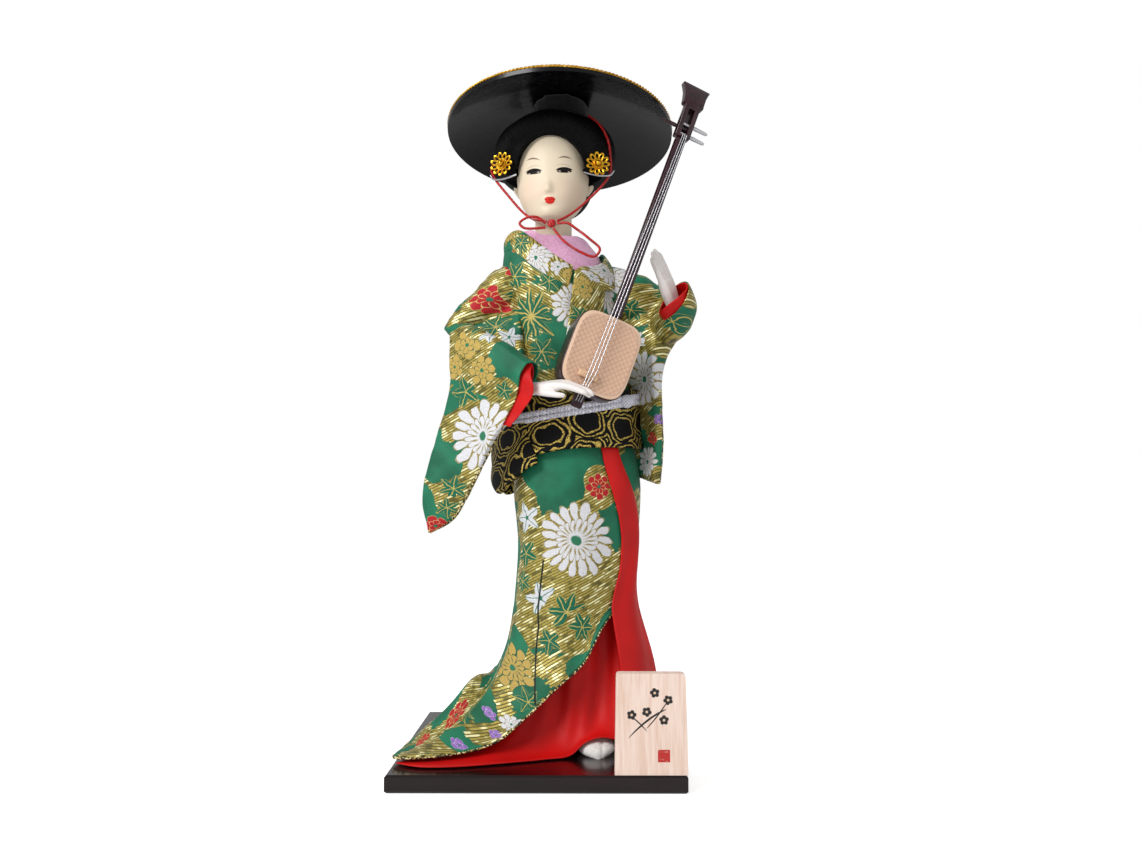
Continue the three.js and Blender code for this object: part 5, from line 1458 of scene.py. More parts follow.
skin = paint(rgb(204, 40, 30), skin, 4.95, 251.55, 1.5, 0.95, 0.0, -0.1, 0.12)
skin = paint(rgb(210, 44, 32), skin, 4.0, 250.75, 2.15, 1.3, -0.1, 0.0, 0.12)
skin = paint(rgb(150, 20, 18), skin, 4.0, 251.35, 2.3, 0.14, -0.2, 0.0, 0.5, 0.9)
# painted shade: a soft grey band at the hairline, under the hair roll
skin = paint(rgb(150, 140, 128), skin, 4.0, 283.2, 9.5, 1.6, 0.0, 0.0, 0.9, 0.5)
g.put(shader["Base Color"], skin)
g.put(shader["Normal"], g.bump(g.noise(at, 1500.0, 2.0), 0.05, 0.0002))
finish_piece(head, "head_cast", face_paint, "head", "face_resin", ["head"])

# %% [markdown]
# ## Hair
# The wig is black silk dressed over a form: a broad roll frames the face, the crown is drawn up
# under the hat and a flat bun sits at the back. The masses are melted together and the face is cut free.

# %% Hair
def ball(centre, radii, power=1.0):
    """A rounded block from a sphere; a power under one makes it squarer."""
    deselect()
    bpy.ops.mesh.primitive_uv_sphere_add(segments=64, ring_count=40, radius=1)
    obj = bpy.context.object
    for vert in obj.data.vertices:
        unit = vert.co.copy()
        lat = math.asin(clamp(unit.z, -1, 1))
        lon = math.atan2(unit.x, -unit.y)
        level = math.cos(lat) ** power

        def bent(value):
            return math.copysign(abs(value) ** power, value)

        p = Vector((
            centre[0] + radii[0] * level * bent(math.sin(lon)),
            centre[1] - radii[1] * level * bent(math.cos(lon)),
            centre[2] + radii[2] * bent(math.sin(lat)),
        ))
        vert.co = to_frame(from_head(p))
    return obj


roll = Route((-20.5, -6, 130.5), (-21.5, -9.5, 138), (-17, -12.6, 147), (-8.5, -14.6, 152.2),
             (0, -15.2, 153.6),
             (8.5, -14.6, 152.2), (17, -12.6, 147), (21.5, -9.5, 138), (20.5, -6, 130.5))
roll_points = roll.spaced(40)
roll_radii = [4.2 + 1.6 * math.sin(math.pi * i / 40) ** 0.7 for i in range(41)]
masses = [
    ball((0.3, 3, 143.5), (28.8, 21.5, 19.5), 0.88),
    ball((0, 8, 135), (18.5, 16, 21), 0.9),
    ball((0, 23, 147), (12, 9, 9)),
    tube([from_head(p) for p in roll_points], roll_radii, 24),
]
hair = fuse(join(masses), 0.8, smooth=6)
window = []
for i in range(2):
    for k in range(64):
        a = 2 * math.pi * k / 64
        high = 20.5 if math.cos(a) > 0 else 34
        window.append(to_frame(from_head((17.2 * math.sin(a), (-44, -5)[i], 127 + high * math.cos(a)))))
mesh = bpy.data.meshes.new("window")
sides = [[k, (k + 1) % 64, 64 + (k + 1) % 64, 64 + k] for k in range(64)]
mesh.from_pydata(window, [], sides + [list(range(63, -1, -1)), list(range(64, 128))])
window = link("window", mesh)
edit(window)
bpy.ops.mesh.select_all(action="SELECT")
bpy.ops.mesh.normals_make_consistent(inside=False)
deselect()
room(hair, window)
deselect()
bpy.ops.mesh.primitive_cube_add(size=1)
below = bpy.context.object
place(below, Matrix.Translation(to_frame(from_head((0, -17.5, 111)))) @ HEAD_SPIN.to_4x4()
      @ Matrix.Diagonal((0.09, 0.03, 0.04, 1)))
room(hair, below)
modify(hair, "SMOOTH", iterations=3)

hair_finish, g, shader = new_finish("hair_silk", Specular_IOR_Level=0.1)
at = g.in_mm()
hx, hy, hz = g.axes(g.vector("SUBTRACT", at, (4.6, 0.0, 262.0)))
round_by = g.times(g.math("ARCTAN2", hx, hz), 24.0)
out_by = g.vector("LENGTH", g.combine(hx, g.times(hy, 0.6), hz))
strands = g.noise(g.combine(g.times(round_by, 1.6), g.times(out_by, 0.12), hy), 1.0, 4.0)
fine = g.noise(g.combine(g.times(round_by, 5.0), g.times(out_by, 0.3), hy), 1.0, 3.0)
g.put(shader["Base Color"], g.mix(g.step(strands, 0.3, 0.75), rgb(2, 2, 3), rgb(14, 14, 15)))
g.put(shader["Roughness"], g.plus(0.5, g.times(fine, 0.25)))
g.put(shader["Normal"], g.bump(g.plus(strands, g.times(fine, 0.6)), 0.8, 0.0007))
finish_piece(hair, "hair_wig", hair_finish, "head", "hair", ["hair"], angle=50)

# %% [markdown]
# ## Hair ornaments
# Two pressed gilt blossoms sit at the temples. Each is openwork: rings for petals round a ring with a
# boss, all soldered together. A bent silver pin holds each one.

# %% Gilt and silver
def metal(name, deep, light, rough):
    finish, g, shader = new_finish(name, Metallic=1.0)
    at = g.in_mm()
    wear = g.noise(at, 0.7, 3.0)
    g.put(shader["Base Color"], g.mix(wear, deep, light))
    g.put(shader["Roughness"], g.plus(rough, g.times(wear, 0.12)))
    g.put(shader["Normal"], g.bump(g.noise(at, 3.0, 2.0), 0.15, 0.0002))
    return finish


gilt = metal("gilt", rgb(196, 132, 14), rgb(244, 196, 62), 0.24)
silver = metal("silver", rgb(170, 170, 176), rgb(222, 222, 226), 0.26)


def hair_front(x, z, grow):
    k = 2 / 0.88
    left = 1 - abs((x - 0.3) / (28.8 + grow)) ** k - abs((z - 143.5) / (19.5 + grow)) ** k
    return 3 - (21.5 + grow) * max(0, left) ** (1 / k)


def torus(major, minor, at, sides=(20, 8)):
    bpy.ops.mesh.primitive_torus_add(
        major_segments=sides[0], minor_segments=sides[1], major_radius=major * MM, minor_radius=minor * MM,
        location=Vector(at) * MM,
    )
    bpy.ops.object.transform_apply(location=True, rotation=True)
    return bpy.context.object


for label, side in (("right", -1), ("left", 1)):
    x = 22.2 * side
    z = 133.6 if side > 0 else 135
    y = hair_front(x - side * 3, z, 0.6) - 2.3
    deselect()
    parts = [torus(1.9, 0.42, (0, 0, 0.8))]
    for k in range(11):
        petal = torus(0.86, 0.36, (0, 0, 0), (16, 8))
        a = 2 * math.pi * k / 11
        place(petal, Matrix.Rotation(a, 4, "Z") @ Matrix.Translation((3.6 * MM, 0, 0.35 * MM))
              @ Matrix.Rotation(math.radians(-12), 4, "Y") @ Matrix.Diagonal((1.75, 1, 1.2, 1)))
        parts.append(petal)
    bpy.ops.mesh.primitive_uv_sphere_add(segments=20, ring_count=12, radius=1.35 * MM)
    boss = bpy.context.object
    place(boss, Matrix.Translation((0, 0, 1.3 * MM)))
    parts.append(boss)
    blossom = join(parts)
    face_out = Matrix.Rotation(math.radians(90), 4, "X")
    place(blossom, Matrix.Translation(to_frame(from_head((x, y + 0.6, z)))) @ HEAD_SPIN.to_4x4()
          @ Matrix.Rotation(0.3 * side, 4, "Z") @ face_out)
    finish_piece(blossom, label + "_blossom", gilt, "head", "gilt", [label + "_flower"], angle=40)
    wire = Route((side * 15.6, -13.2, 130.3), (side * 18.6, -12.4, 129.6), (side * 24, -9.6, 129.4),
                 (side * 27.5, -7.6, 130.4), (side * 29, -6.6, 132.6))
    pin = tube([from_head(p) for p in wire.spaced(30)], 0.45, 12)
    finish_piece(pin, label + "_hairpin", silver, "head", "steel", [label + "_pin"])

# %% [markdown]
# ## Tie cord
# A thin red silk cord holds the hat. One strand comes down over the hair, the other from behind it; both
# cross the cheeks to a knot under the chin. The rest is tied in two loops. Each is a bar along its route.

# %% Cord, knot and loops
CORD = 0.6


def on_hair(x, z):
    return (x, hair_front(x, z, CORD + 0.6), z)


cord_red, g, shader = new_finish("cord_red", Roughness=0.38)
at = g.in_mm()
cx, cy, cz = g.axes(at)
twist = g.math("SINE", g.times(g.plus(g.plus(cx, cy), cz), 4.2))
# painted shade: the grooves of the twist are a deeper red than its tops
g.put(shader["Base Color"], g.mix(g.step(twist, -1.0, 1.0), rgb(138, 4, 6), rgb(204, 14, 12)))
g.put(shader["Normal"], g.bump(twist, 0.4, 0.0002))
strands = {
    "cord_left": [on_hair(17.5, 158), on_hair(22.5, 153.5), on_hair(26.2, 147), on_hair(27.4, 140),
                  (27, -6.6, 131),
                  (15.4, -11.8, 115.8), (8, -17.5, 108.3), (4.4, -20.3, 105.8)],
    "cord_right": [(-15, 16.4, 158.5), (-21.5, 16.8, 153.5), (-26.4, 13.9, 147), (-29, 8, 143),
                   (-30, 2.5, 140),
                   (-29, -3.5, 135.5), (-27, -6.6, 131), (-21, -9.8, 122.8), (-8.6, -17.6, 108.6),
                   (-0.6, -20.3, 105.8)],
    "bow_left": [(4.6, -21.4, 104.4), (9, -22.2, 104.2), (13.5, -23, 101), (19, -24.4, 96.3),
                 (24, -25.2, 91),
                 (21.5, -26.2, 87.6), (15, -26.4, 90), (8, -25, 95.2), (2.9, -22.6, 101.7)],
    "bow_right": [(-0.8, -21.2, 104.6), (-4.5, -22.6, 107.2), (-9, -23, 107), (-12.4, -22.8, 104.6),
                  (-10.5, -23, 102.4), (-5, -22.8, 102), (-0.9, -21.8, 102.6)],
}
cord_lengths = {}
for label, points in strands.items():
    line = [from_head(p) for p in Route(*points).spaced(60)]
    path = [to_frame(p) for p in line]
    piece = tube(line, CORD, 12)
    finish_piece(piece, label + "_silk", cord_red, "head", "red_satin", [label])
    length = sum((b - a).length for a, b in zip(path, path[1:]))
    cord_lengths[label] = round(length, 4)
    if length > 0.03:
        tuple(path[0])
print("cords:", cord_lengths)
tie = ball((1.9, -21, 104.6), (1.9, 1.6, 1.9), 0.9)
finish_piece(tie, "cord_knot_silk", cord_red, "head", "red_satin", ["cord_knot"])

# %% [markdown]
# ## Hat
# The broad travelling hat is a thin lacquered dish. A ring is extruded and resized along the dish's
# profile, out over the top and back underneath. Its rim carries a twisted gilt braid of two strands.

# %% Hat
HAT_RADIUS = 53.6
HAT_WALL = 1.6
hat_place = (Matrix.Translation(to_frame((NECK_X, 0, 0))) @ HEAD_SPIN.to_4x4()
             @ Matrix.Translation((2.4 * MM, 5 * MM, 155 * MM)) @ Matrix.Rotation(math.radians(-11), 4, "X"))


def dish(r):
    return 17 * (1 - (r / HAT_RADIUS) ** 2.2)


tops = [i / 40 * HAT_RADIUS for i in range(41)]
unders = [(HAT_RADIUS - 0.2) * (1 - i / 40) for i in range(41)]
profile = [(r, dish(r)) for r in tops]
profile += [(r, dish(r) - HAT_WALL - 0.3 * ease(0.9, 1, r / HAT_RADIUS)) for r in unders]
hat = turned(profile, 128, close=False)
place(hat, hat_place)
lacquer_black, g, shader = new_finish(
    "lacquer_black", Coat_Weight=0.12, Coat_Roughness=0.05, Specular_IOR_Level=0.2
)
at = g.in_mm()
g.put(shader["Base Color"], g.mix(g.noise(at, 0.05, 3.0), rgb(4, 4, 6), rgb(9, 8, 12)))
g.put(shader["Roughness"], g.plus(0.2, g.times(g.noise(at, 0.12, 2.0), 0.12)))
g.put(shader["Normal"], g.bump(g.noise(at, 0.12, 2.0), 0.08, 0.002))
finish_piece(hat, "hat_lacquer", lacquer_black, "head", "lacquer", ["hat"], angle=40)
braids = []
for half in (0, 1):
    points = []
    for i in range(900):
        a = 2 * math.pi * i / 900
        turn = 90 * a + math.pi * half
        r = HAT_RADIUS - 0.5 + 0.34 * math.cos(turn)
        spot = Vector((r * math.cos(a), r * math.sin(a), 0.85 + 0.34 * math.sin(turn)))
        spot = hat_place @ (spot * MM) / MM
        points.append((spot.x, spot.y, spot.z - WAIST))
    braids.append(tube(points, 0.36, 6, closed=True))
finish_piece(join(braids), "hat_gilt_braid", gilt, "head", "gilt", ["hat_braid"])

# %% [markdown]
# ## Hands
# The small hands are cast in pale resin: a flat palm, four fingers and a thumb. The parts are round bars
# that are melted together, which gives soft webs between the fingers as in the real casting.

# %% Hands
resin, g, shader = new_finish("hand_resin", Roughness=0.4, Subsurface_Weight=0.05, Subsurface_Scale=0.002)
at = g.in_mm()
g.put(shader["Base Color"], g.mix(g.noise(at, 0.3, 3.0), rgb(228, 220, 216), rgb(240, 234, 230)))
g.put(shader["Normal"], g.bump(g.noise(at, 1.6, 2.0), 0.05, 0.0003))


def hand(curl, spread, wrist, tip, back, size):
    x_axis = (Vector(tip) - Vector(wrist)).normalized()
    z_axis = (Vector(back) - x_axis * Vector(back).dot(x_axis)).normalized()
    y_axis = z_axis.cross(x_axis)
    turn = Matrix((x_axis, y_axis, z_axis)).transposed()

    def here(p):
        return turn @ (Vector(p) * size) + Vector(wrist)

    parts = [tube([here((x, 0, 0)) for x in (-6, -2, 2, 5)], [size * r for r in (2.8, 2.7, 2.5, 2.2)], 24)]
    for y in (-2.0, -0.7, 0.7, 2.0):
        ridge = [(0, y * 0.35, 0), (4, y * 0.7, 0), (8, y * 1.05, 0), (12.6, y * 1.2, 0)]
        parts.append(tube([here(p) for p in ridge], [size * r for r in (2.0, 2.1, 2.1, 1.85)], 16))
    for i, (y, reach) in enumerate(((-2.8, 23.4), (-0.95, 25), (0.95, 24.4), (2.7, 22.4))):
        bend = curl * (1 + 0.15 * i)
        fan = spread * y
        line = Route((9, y * 0.9, 0.1), (mix(10, reach, 0.3), y + fan * 0.1, 0.0),
                     (mix(10, reach, 0.62), y + fan * 0.2, -bend * 0.45),
                     (reach - 0.8, y + fan * 0.35, -bend * 1.15), (reach, y + fan * 0.38, -bend * 1.4))
        ends = [1] * 15 + [0.85, 0.5]
        radii = [size * mix(1.6, 1.1, k / 16) * end for k, end in enumerate(ends)]
        parts.append(tube([here(p) for p in line.spaced(16)], radii, 16))
    thumb = Route((3, -1.8, -0.5), (8.5, -4.4, -1.8), (13, -4.9, -3.0), (15.4, -4.4, -3.6))
    radii = [size * mix(1.9, 0.9, k / 16) for k in range(16)] + [0.5]
    parts.append(tube([here(p) for p in thumb.spaced(16)], radii, 16))
    return fuse(join(parts), 0.32, smooth=5)


for label, *pose in (
    ("right_hand", 3.2, 0.0, (-3.6, -38.6, 27.6), (26, -50.5, 30.2), (0, -0.3, 0.95), 1.12),
    ("left_hand", 0.6, -0.2, (61.0, -15.8, 65), (50.8, -23, 93), (0.75, -0.65, 0.2), 1.2),
):
    finish_piece(hand(*pose), label + "_cast", resin, "doll", "hand_resin", [label])

# %% [markdown]
# ## Shamisen
# The three-string lute has a square sound box with soft corners, a hide stretched on both sides, a long
# neck and a flared head with three pegs. It is modelled upright at the origin and then set in the arms.

# %% Place of the lute
LUTE_WIDTH, LUTE_LENGTH, LUTE_DEPTH = 30.5, 35.5, 14.0
LUTE_TURN, LUTE_LEAN = math.radians(16), math.radians(20.7)
LUTE_HEIGHT, LUTE_SHIFT = 42.6, 3.0
NECK_TOP, LUTE_TOP = 106.0, 134.5
chest_x, chest_a, chest_b = along(BODY, LUTE_HEIGHT)
band_lift = SASH_OUT + 2 * GAP + 0.7
off = LUTE_TURN - BODY_TURN
chest = math.hypot((chest_a + band_lift) * math.sin(off), (chest_b + band_lift) * math.cos(off))
out_by = chest + GAP + LUTE_DEPTH
lute_at = Vector((
    chest_x + out_by * math.sin(LUTE_TURN) + LUTE_SHIFT * math.cos(LUTE_TURN),
    -out_by * math.cos(LUTE_TURN) + LUTE_SHIFT * math.sin(LUTE_TURN),
    LUTE_HEIGHT,
))
lute_place = (Matrix.Translation(to_frame(lute_at)) @ Matrix.Rotation(LUTE_TURN, 4, "Z")
              @ Matrix.Rotation(LUTE_LEAN, 4, "Y"))
print("middle of the lute:", [round(c) for c in lute_at], "mm")

# %% Wood and hide
lute_wood, g, shader = new_finish("lute_wood", Coat_Weight=0.3, Coat_Roughness=0.08, Specular_IOR_Level=0.3)
at = g.in_mm()
gx, gy, gz = g.axes(at)
grain = g.noise(g.combine(gx, gy, g.times(gz, 0.12)), 0.8, 4.0, 0.3)
g.put(shader["Base Color"], g.mix(g.step(grain, 0.3, 0.75), rgb(26, 8, 14), rgb(58, 22, 32)))
g.put(shader["Roughness"], g.plus(0.25, g.times(grain, 0.15)))

hide, g, shader = new_finish("lute_hide", Sheen_Weight=0.15)
uv = g.on_cloth("hide")
ux, uy, _ = g.axes(uv)
one = g.math("ABSOLUTE", g.math("SINE", g.times(g.plus(ux, uy), math.pi / 2.6)))
two = g.math("ABSOLUTE", g.math("SINE", g.times(g.minus(ux, uy), math.pi / 2.6)))
lattice = g.times(g.step(one, 0.0, 0.3), g.step(two, 0.0, 0.3))
edge_x = g.math("DIVIDE", g.math("ABSOLUTE", ux), LUTE_WIDTH / 2)
edge_y = g.math("DIVIDE", g.math("ABSOLUTE", uy), LUTE_LENGTH / 2)
toward = g.math("POWER", g.plus(g.math("POWER", edge_x, 4.2), g.math("POWER", edge_y, 4.2)), 1 / 4.2)
border = g.step(toward, 0.9, 0.93)
tone = g.mix(lattice, rgb(200, 158, 130), rgb(216, 177, 150))
tone = g.mix(g.times(g.noise(uv, 0.12, 3.0), 0.3), tone, rgb(204, 160, 132))
g.put(shader["Base Color"], g.mix(border, tone, rgb(221, 186, 158)))
g.put(shader["Roughness"], g.plus(0.42, g.times(g.noise(uv, 0.8, 2.0), 0.2)))
height = g.times(lattice, g.minus(1.0, border))
g.put(shader["Normal"], g.bump(height, 0.6, 0.0004))
print("finishes:", lute_wood.name, hide.name)

# %% Sound box
SKIN_INSET, SKIN_DEEP, SKIN_DOME = 0.4, 0.8, 0.5
CORNER = 0.44            # a lower power makes the corners of the box squarer
UPRIGHT = Matrix.Rotation(math.radians(90), 4, "X")


def box_outline(obj, inset):
    """Pushes a ring of points out to the rounded square of the sound box."""
    for vert in obj.data.vertices:
        a = math.atan2(vert.co.y, vert.co.x)
        size = math.hypot(vert.co.x, vert.co.y) * 1000
        c, s = math.cos(a), math.sin(a)
        vert.co.x = (LUTE_WIDTH / 2 - inset) * size * math.copysign(abs(c) ** CORNER, c) * MM
        vert.co.y = (LUTE_LENGTH / 2 - inset) * size * math.copysign(abs(s) ** CORNER, s) * MM


def skin_board():
    """A flat board of that outline, its face toward -Y, with rings for a border and a slight dome."""
    domed = ((1.0, 0.0), (0.97, 0.4), (0.86, 0.5), (0.84, 0.3), (0.5, 0.9), (0.02, 1.0))
    obj = turned([(1.0, 0.0)] + [(r, SKIN_DEEP + SKIN_DOME * share) for r, share in domed], 128)
    box_outline(obj, SKIN_INSET)
    return place(obj, Matrix.Translation((0, SKIN_DEEP * MM, 0)) @ UPRIGHT)


for label, turn in (
    ("lute_skin_front", Matrix.Identity(4)),
    ("lute_skin_back", Matrix.Translation((0, LUTE_DEPTH * MM, 0)) @ Matrix.Rotation(math.pi, 4, "Z")),
):
    obj = place(skin_board(), turn)
    flat_uv(obj, (1, 0, 0), Vector(), "hide")
    place(obj, lute_place)
    finish_piece(obj, label + "_hide", hide, "shamisen", "lute_skin", [label], angle=40)

frame_box = turned([(1.0, 0.0), (1.0, LUTE_DEPTH - 2.0)], 128, close=False)
box_outline(frame_box, 0.0)
modify(frame_box, "SOLIDIFY", thickness=2.4 * MM, offset=-1)
modify(frame_box, "BEVEL", width=0.5 * MM, segments=3, limit_method="ANGLE", angle_limit=math.radians(50))
place(frame_box, lute_place @ Matrix.Translation((0, (LUTE_DEPTH - 1.0) * MM, 0)) @ UPRIGHT)
finish_piece(frame_box, "lute_frame_wood", lute_wood, "shamisen", "lute_gloss", ["lute_frame"], angle=40)


# %% Neck and head
def block(wide, deep, low, high, front, bevel, segments=3):
    """A bar with rounded edges, its front toward -Y."""
    deselect()
    bpy.ops.mesh.primitive_cube_add(size=1)
    obj = bpy.context.object
    place(obj, Matrix.Translation((0, (front + deep / 2) * MM, (low + high) / 2 * MM))
          @ Matrix.Diagonal((wide * MM, deep * MM, (high - low) * MM, 1)))
    if bevel:
        modify(obj, "BEVEL", width=bevel * MM, segments=segments)
    return obj


neck_bar = block(4.9, 3.9, LUTE_LENGTH / 2 + GAP, NECK_TOP, -0.6, 1.1, 4)
place(neck_bar, lute_place)
finish_piece(neck_bar, "lute_neck_wood", lute_wood, "shamisen", "lute_gloss", ["lute_neck"], angle=40)

BOX_TOP, BOX_WIDE = LUTE_TOP - 12.6, 7.2
flare = block(BOX_WIDE, 4.4, NECK_TOP + GAP, BOX_TOP, -0.6, 0)
bm = edit(flare)
bpy.ops.mesh.select_all(action="DESELECT")
bm.faces.ensure_lookup_table()
top = max(bm.faces, key=lambda f: f.calc_center_median().z)
top.select = True
bmesh.update_edit_mesh(flare.data)
before = BOX_WIDE / 2
spot = Vector((0, 1.6, BOX_TOP))
for z, w, back in ((BOX_TOP + 0.5, 4.9, 1.8), (LUTE_TOP - 9, 5.0, 2.9), (LUTE_TOP - 5.5, 5.3, 4.4),
                   (LUTE_TOP - 2.5, 6.0, 6.0),
                   (LUTE_TOP, 6.8, 7.4)):
    step = Vector((0, back - spot.y, z - spot.z)) * MM
    bpy.ops.mesh.extrude_region_move(TRANSFORM_OT_translate={"value": step})
    spot = Vector((0, back, z))
    bpy.ops.transform.resize(value=(w / before, 1, 1), center_override=spot * MM)
    before = w
bpy.ops.object.mode_set(mode="OBJECT")
modify(flare, "BEVEL", width=0.5 * MM, segments=3, limit_method="ANGLE")
room(flare, block(3.0, 4, NECK_TOP + 1.6, BOX_TOP - 1.6, -1.6, 0))
place(flare, lute_place)
finish_piece(flare, "lute_head_wood", lute_wood, "shamisen", "lute_gloss", ["lute_head"], angle=35)

# %% Bridge and strings
horn, g, shader = new_finish("bridge_horn", Roughness=0.4)
at = g.in_mm()
g.put(shader["Base Color"], g.mix(g.noise(at, 0.5, 3.0), rgb(200, 158, 122), rgb(228, 190, 156)))
bridge = block(9.0, 1.9, -LUTE_LENGTH / 2 + 5.2, -LUTE_LENGTH / 2 + 8.2, -2.1, 0.5)
place(bridge, lute_place @ Matrix.Translation((-3.0 * MM, 0, 0)))
finish_piece(bridge, "lute_bridge_horn", horn, "shamisen", "lute_skin", ["lute_bridge"], angle=40)
tail = block(4.8, 2.4, -LUTE_LENGTH / 2 - 8.0, -LUTE_LENGTH / 2 + 1.5, -1.5, 0.6)
# below the box the tail is free; above its edge it stays in front of the hide
room(tail, block(8, 4, -LUTE_LENGTH / 2 - 0.3, -LUTE_LENGTH / 2 + 3, -GAP, 0))
place(tail, lute_place @ Matrix.Translation((-3.2 * MM, 0, 0)))
finish_piece(tail, "lute_tail_wood", lute_wood, "shamisen", "lute_gloss", ["lute_tailpiece"], angle=40)
back_again = lute_place.inverted()
for label in ("string_low", "string_middle", "string_high"):
    to_lute = back_again @ nodes[label].matrix_world
    spots = sorted((to_lute @ v.co for v in nodes[label].data.vertices), key=lambda p: p.z)
    rows = []
    for p in spots:
        if rows and p.z - rows[-1][0].z < 0.0012:
            rows[-1].append(p)
        else:
            rows.append([p])
    rows.insert(0, [p + Vector((0, 0.0002, -0.006)) for p in rows[0]])
    line = []
    for row in rows:
        middle = sum(row, Vector()) / len(row)
        middle.x += (0.6 - 3.4 * clamp((18 - middle.z / MM) / 36, 0, 1.15)) * MM
        middle = lute_place @ middle
        line.append((middle.x / MM, middle.y / MM, middle.z / MM - WAIST))
    finish_piece(tube(line, 0.22, 8), label + "_wire", silver, "shamisen", "steel", [label])

# %% Pegs
PEG = [(0.3, -3.2), (0.7, -3.0), (0.7, 3.7), (0.85, 4.2), (0.95, 5.0), (0.85, 7.0), (0.78, 9.6), (0.7, 10.4),
       (0.35, 11.0)]
for label, side, z, finish in (
    ("peg_lower", 1, 2.6, silver), ("peg_middle", -1, 5.0, lute_wood), ("peg_upper", 1, 7.4, silver),
):
    peg = weld(turned(PEG, 16), cap=True)
    place(peg, lute_place @ Matrix.Translation((0, 1.6 * MM, (NECK_TOP + z) * MM))
          @ Matrix.Rotation(math.radians(90 * side), 4, "Y"))
    finish_piece(peg, label + "_silver", finish, "shamisen", "steel", [label], angle=40)

# %% [markdown]
# ## What stays as it was packed
# The board, its screw, the hidden post and the plaque are already the right shape, so they keep their
# solids and only get their finish. A solid's material slots are filled in place.

# %% Board and plaque finishes
base_lacquer, g, shader = new_finish(
    "base_lacquer", Coat_Weight=0.2, Coat_Roughness=0.03, Specular_IOR_Level=0.3
)
at = g.in_mm()
bx, by, bz = g.axes(at)
streak = g.noise(g.combine(g.times(bx, 0.2), by, bz), 0.3, 4.0, 0.4)
g.put(shader["Base Color"], g.mix(g.step(streak, 0.3, 0.8), rgb(14, 4, 6), rgb(30, 9, 12)))
g.put(shader["Roughness"], g.plus(0.16, g.times(streak, 0.1)))

plaque_wood, g, shader = new_finish("plaque_wood", Roughness=0.55)
at = g.node("TexCoord").outputs["Object"]
wx, wy, wz = g.axes(g.vector("SCALE", at, scale=1000.0))
rings = g.noise(g.combine(wx, g.times(wy, 0.4), g.times(wz, 0.07)), 0.55, 3.0, 0.5)
lines = g.noise(g.combine(g.times(wx, 3.0), wy, g.times(wz, 0.1)), 1.0, 2.0)
wood = g.mix(g.step(rings, 0.35, 0.7), rgb(240, 218, 204), rgb(229, 198, 181))
wood = g.mix(g.times(g.step(lines, 0.45, 0.75), 0.3), wood, rgb(206, 172, 146))
front = g.step(wy, -58.9, -59.1)
print("finishes:", base_lacquer.name, plaque_wood.name)

# %% [markdown]
# The plaque's face carries a plain brushed sprig and one red seal shape without a sign in it.

# %% Sprig on the plaque
INK = rgb(30, 26, 26)
ink = brush(g, at, front, 0.15)
wood = ink(INK, wood, 44.0, 27.0, 7.5, 0.5, 1.2, 0.75)
wood = ink(INK, wood, 48.5, 31.5, 5.0, 0.42, -0.8, 1.3)
wood = ink(INK, wood, 40.5, 27.0, 3.4, 0.35, 0.5, -0.9)
for x, z in ((47.0, 39.0), (52.3, 36.2), (37.8, 30.4), (43.8, 31.6), (50.6, 28.4)):
    for k in range(5):
        a = 2 * math.pi * k / 5 + x
        wood = ink(INK, wood, x + 1.15 * math.cos(a), z + 1.15 * math.sin(a), 0.8, 0.8, 0.0, 0.0, 0.3)
    wood = ink(rgb(220, 190, 160), wood, x, z, 0.5, 0.5, 0.0, 0.0, 0.3)
seal_x = g.math("ABSOLUTE", g.minus(wx, 50.5))
seal_z = g.math("ABSOLUTE", g.minus(wz, 14.5))
seal = g.step(g.math("MAXIMUM", seal_x, seal_z), 2.5, 2.35)
seal = g.times(g.times(seal, front), g.step(g.noise(at, 1400.0, 2.0), 0.25, 0.4))
wood = g.mix(seal, wood, rgb(186, 36, 30))
g.put(shader["Base Color"], wood)
g.put(shader["Normal"], g.bump(g.plus(rings, lines), 0.15, 0.0003))
print("plaque:", len(plaque_wood.node_tree.nodes), "nodes")

# %% Padding, felt and post finishes
cotton = crepe("cotton_wadding", rgb(214, 208, 196), rgb(238, 234, 226))
felt = crepe("felt_black", rgb(5, 5, 6), rgb(12, 12, 13))
post_wood, g, shader = new_finish("post_wood", Roughness=0.65)
at = g.in_mm()
qx, qy, qz = g.axes(at)
grain = g.noise(g.combine(qx, qy, g.times(qz, 0.05)), 1.2, 3.0)
g.put(shader["Base Color"], g.mix(grain, rgb(186, 150, 104), rgb(212, 180, 136)))

FINISHES = {
    "base_board": base_lacquer,
    "base_screw": silver,
    "support_post": post_wood,
    "plaque": plaque_wood,
}
for label, finish in FINISHES.items():
    slots = nodes[label].data.materials
    if not slots:
        slots.append(finish)
    for k in range(len(slots)):
        slots[k] = finish
print("finished in place:", *FINISHES)

# %% [markdown]
# Under the silk there is wadding. The plain cores give the form: a copy is melted, smoothed and made a
# little uneven. The arms are new bars, which run inside the sleeves to the hands.

# %% Wadding
def wadded(obj, name, finish, body, slot, node):
    crumple(obj, 0.25, 4.0, 3.0)
    finish_piece(obj, name, finish, body, slot, [node])


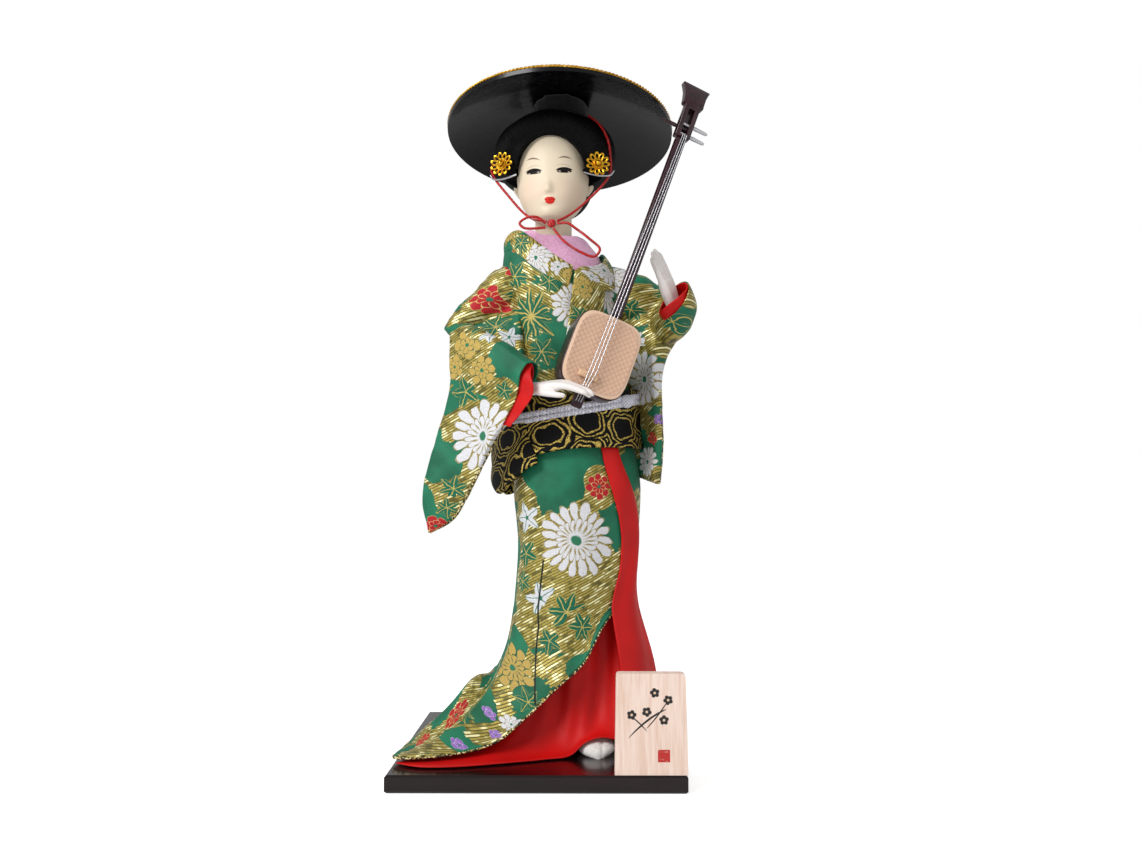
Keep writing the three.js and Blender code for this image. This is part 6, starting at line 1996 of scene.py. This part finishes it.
for node, name, finish, body, slot in (
    ("leg_core", "leg_wadding", cotton, "doll", "padding"),
    ("torso_core", "torso_wadding", cotton, "doll", "padding"),
    ("hat_seat", "hat_seat_felt", felt, "head", "felt"),
):
    core = place(link(name, nodes[node].data.copy()), nodes[node].matrix_world)
    wadded(fuse(core, 1.0, smooth=3), name, finish, body, slot, node)
ARMS = {
    "right_arm": [(-9, -6, 78), (-24, -10, 69), (-36, -14, 60), (-37, -16, 55.5), (-26, -24, 46),
                  (-12, -35.5, 31), (-6, -39.5, 27.6)],
    "left_arm": [(22, 8, 79), (34, 6, 77), (46, 3.5, 73), (56, 0.5, 68), (60.4, -7, 65.5), (60.4, -15, 66)],
}
for node, points in ARMS.items():
    arm = tube(Route(*points).spaced(40), [mix(4.5, 2.6, k / 40) for k in range(41)], 20)
    wadded(arm, node + "_wadding", cotton, "doll", "padding", node)

# %% [markdown]
# ## Stage
# A pale floor, a soft key from the upper left, a fill from the right and an even bright sky. The camera
# was fitted to the picture: its lens, height and slight upward tilt make the board and the hat agree.

# %% Floor, sky and lamps
deselect()
bpy.ops.mesh.primitive_plane_add(size=6.0, location=(0, 0, -0.0002))
floor = bpy.context.object
bpy.ops.object.transform_apply(location=True)
floor.name = "floor"
floor_finish, g, shader = new_finish("floor_white", Roughness=0.9, Specular_IOR_Level=0.0)
shader["Base Color"].default_value = (0.9, 0.9, 0.9, 1)
shader["Emission Color"].default_value = (1, 1, 1, 1)
g.put(shader["Emission Strength"], g.times(g.node("LightPath").outputs["Is Camera Ray"], 0.62))
floor.data.materials.append(floor_finish)

world = bpy.data.worlds.new("sky")
bpy.context.scene.world = world
world.use_nodes = True
g = Graph(world.node_tree)
back = next(n for n in world.node_tree.nodes if n.type == "BACKGROUND")
path = g.node("LightPath")
seen = g.math("MAXIMUM", path.outputs["Is Camera Ray"], path.outputs["Is Transmission Ray"])
g.put(back.inputs["Strength"], g.mix(seen, 0.5, 1.0, "FLOAT"))
back.inputs["Color"].default_value = (1, 1, 1, 1)


def lamp(name, at, target, size, power):
    data = bpy.data.lights.new(name, "AREA")
    data.size = size
    data.energy = power
    obj = link(name, data)
    obj.location = at
    obj.rotation_euler = (Vector(target) - Vector(at)).to_track_quat("-Z", "Y").to_euler()
    return obj


key = lamp("key", (-0.55, -0.62, 0.7), (0, 0, 0.15), 0.4, 7.3)
fill = lamp("fill", (0.7, -0.6, 0.4), (0, 0, 0.14), 0.6, 0.8)
print("stage:", floor.name, key.name, fill.name)

# %% Camera
CAMERA_PITCH, CAMERA_YAW = 0.0739597, 0.00641888
camera = link("camera", bpy.data.cameras.new("camera"))
camera.data.sensor_width = 36.0
camera.data.lens = 31.445
camera.data.clip_start = 0.01
camera.location = (0.0159523, -0.4611915, 0.1148445)
level = math.cos(CAMERA_PITCH)
ahead = Vector((-math.sin(CAMERA_YAW) * level, math.cos(CAMERA_YAW) * level, math.sin(CAMERA_PITCH)))
camera.rotation_euler = ahead.to_track_quat("-Z", "Y").to_euler()
bpy.context.scene.camera = camera
bpy.context.scene.view_settings.view_transform = "Standard"
print("lens:", camera.data.lens, "mm")

# %% [markdown]
# ## Soft goods
# Each soft piece is listed with how it lies, what it rests on and, for the sleeves, a length along the
# cloth; declare only reads that length. The last cell prints how many pieces and faces were made.

# %% Soft goods
def declare(name, held, rests_on, length=None):
    """Reads its length as measured along the cloth, or takes the one given."""
    obj = bpy.data.objects[name]
    length = length or obj["cloth_length"]


RIGHT_BAG, LEFT_BAG = 0.196, 0.168    # front and back of each sleeve's bag together, in metres
SHEETS = (
    ("skirt_silk", "draped", ["leg_wadding", "base_board"]),
    ("under_skirt_silk", "draped", ["base_board"]),
    ("skirt_facing_silk", "folded", ["skirt_silk"]),
    ("bodice_silk", "draped", ["torso_wadding"]),
    ("inner_collar_silk", "folded", ["bodice_silk"]),
    ("collar_under_silk", "folded", ["bodice_silk"]),
    ("collar_over_silk", "folded", ["bodice_silk"]),
    ("obi_silk", "stretched", ["bodice_silk", "skirt_silk"]),
    ("obi_tail_silk", "hung", ["obi_silk"]),
    ("right_sleeve_silk", "hung", ["right_arm_wadding"], RIGHT_BAG),
    ("left_sleeve_silk", "hung", ["left_arm_wadding"], LEFT_BAG),
    ("right_cuff_silk", "folded", ["right_sleeve_silk"]),
    ("left_cuff_silk", "folded", ["left_sleeve_silk"]),
)
for sheet in SHEETS:
    declare(*sheet)

# %% Finish
total = sum(pieces_made.values())
print("pieces:", len(pieces_made), "faces:", total)
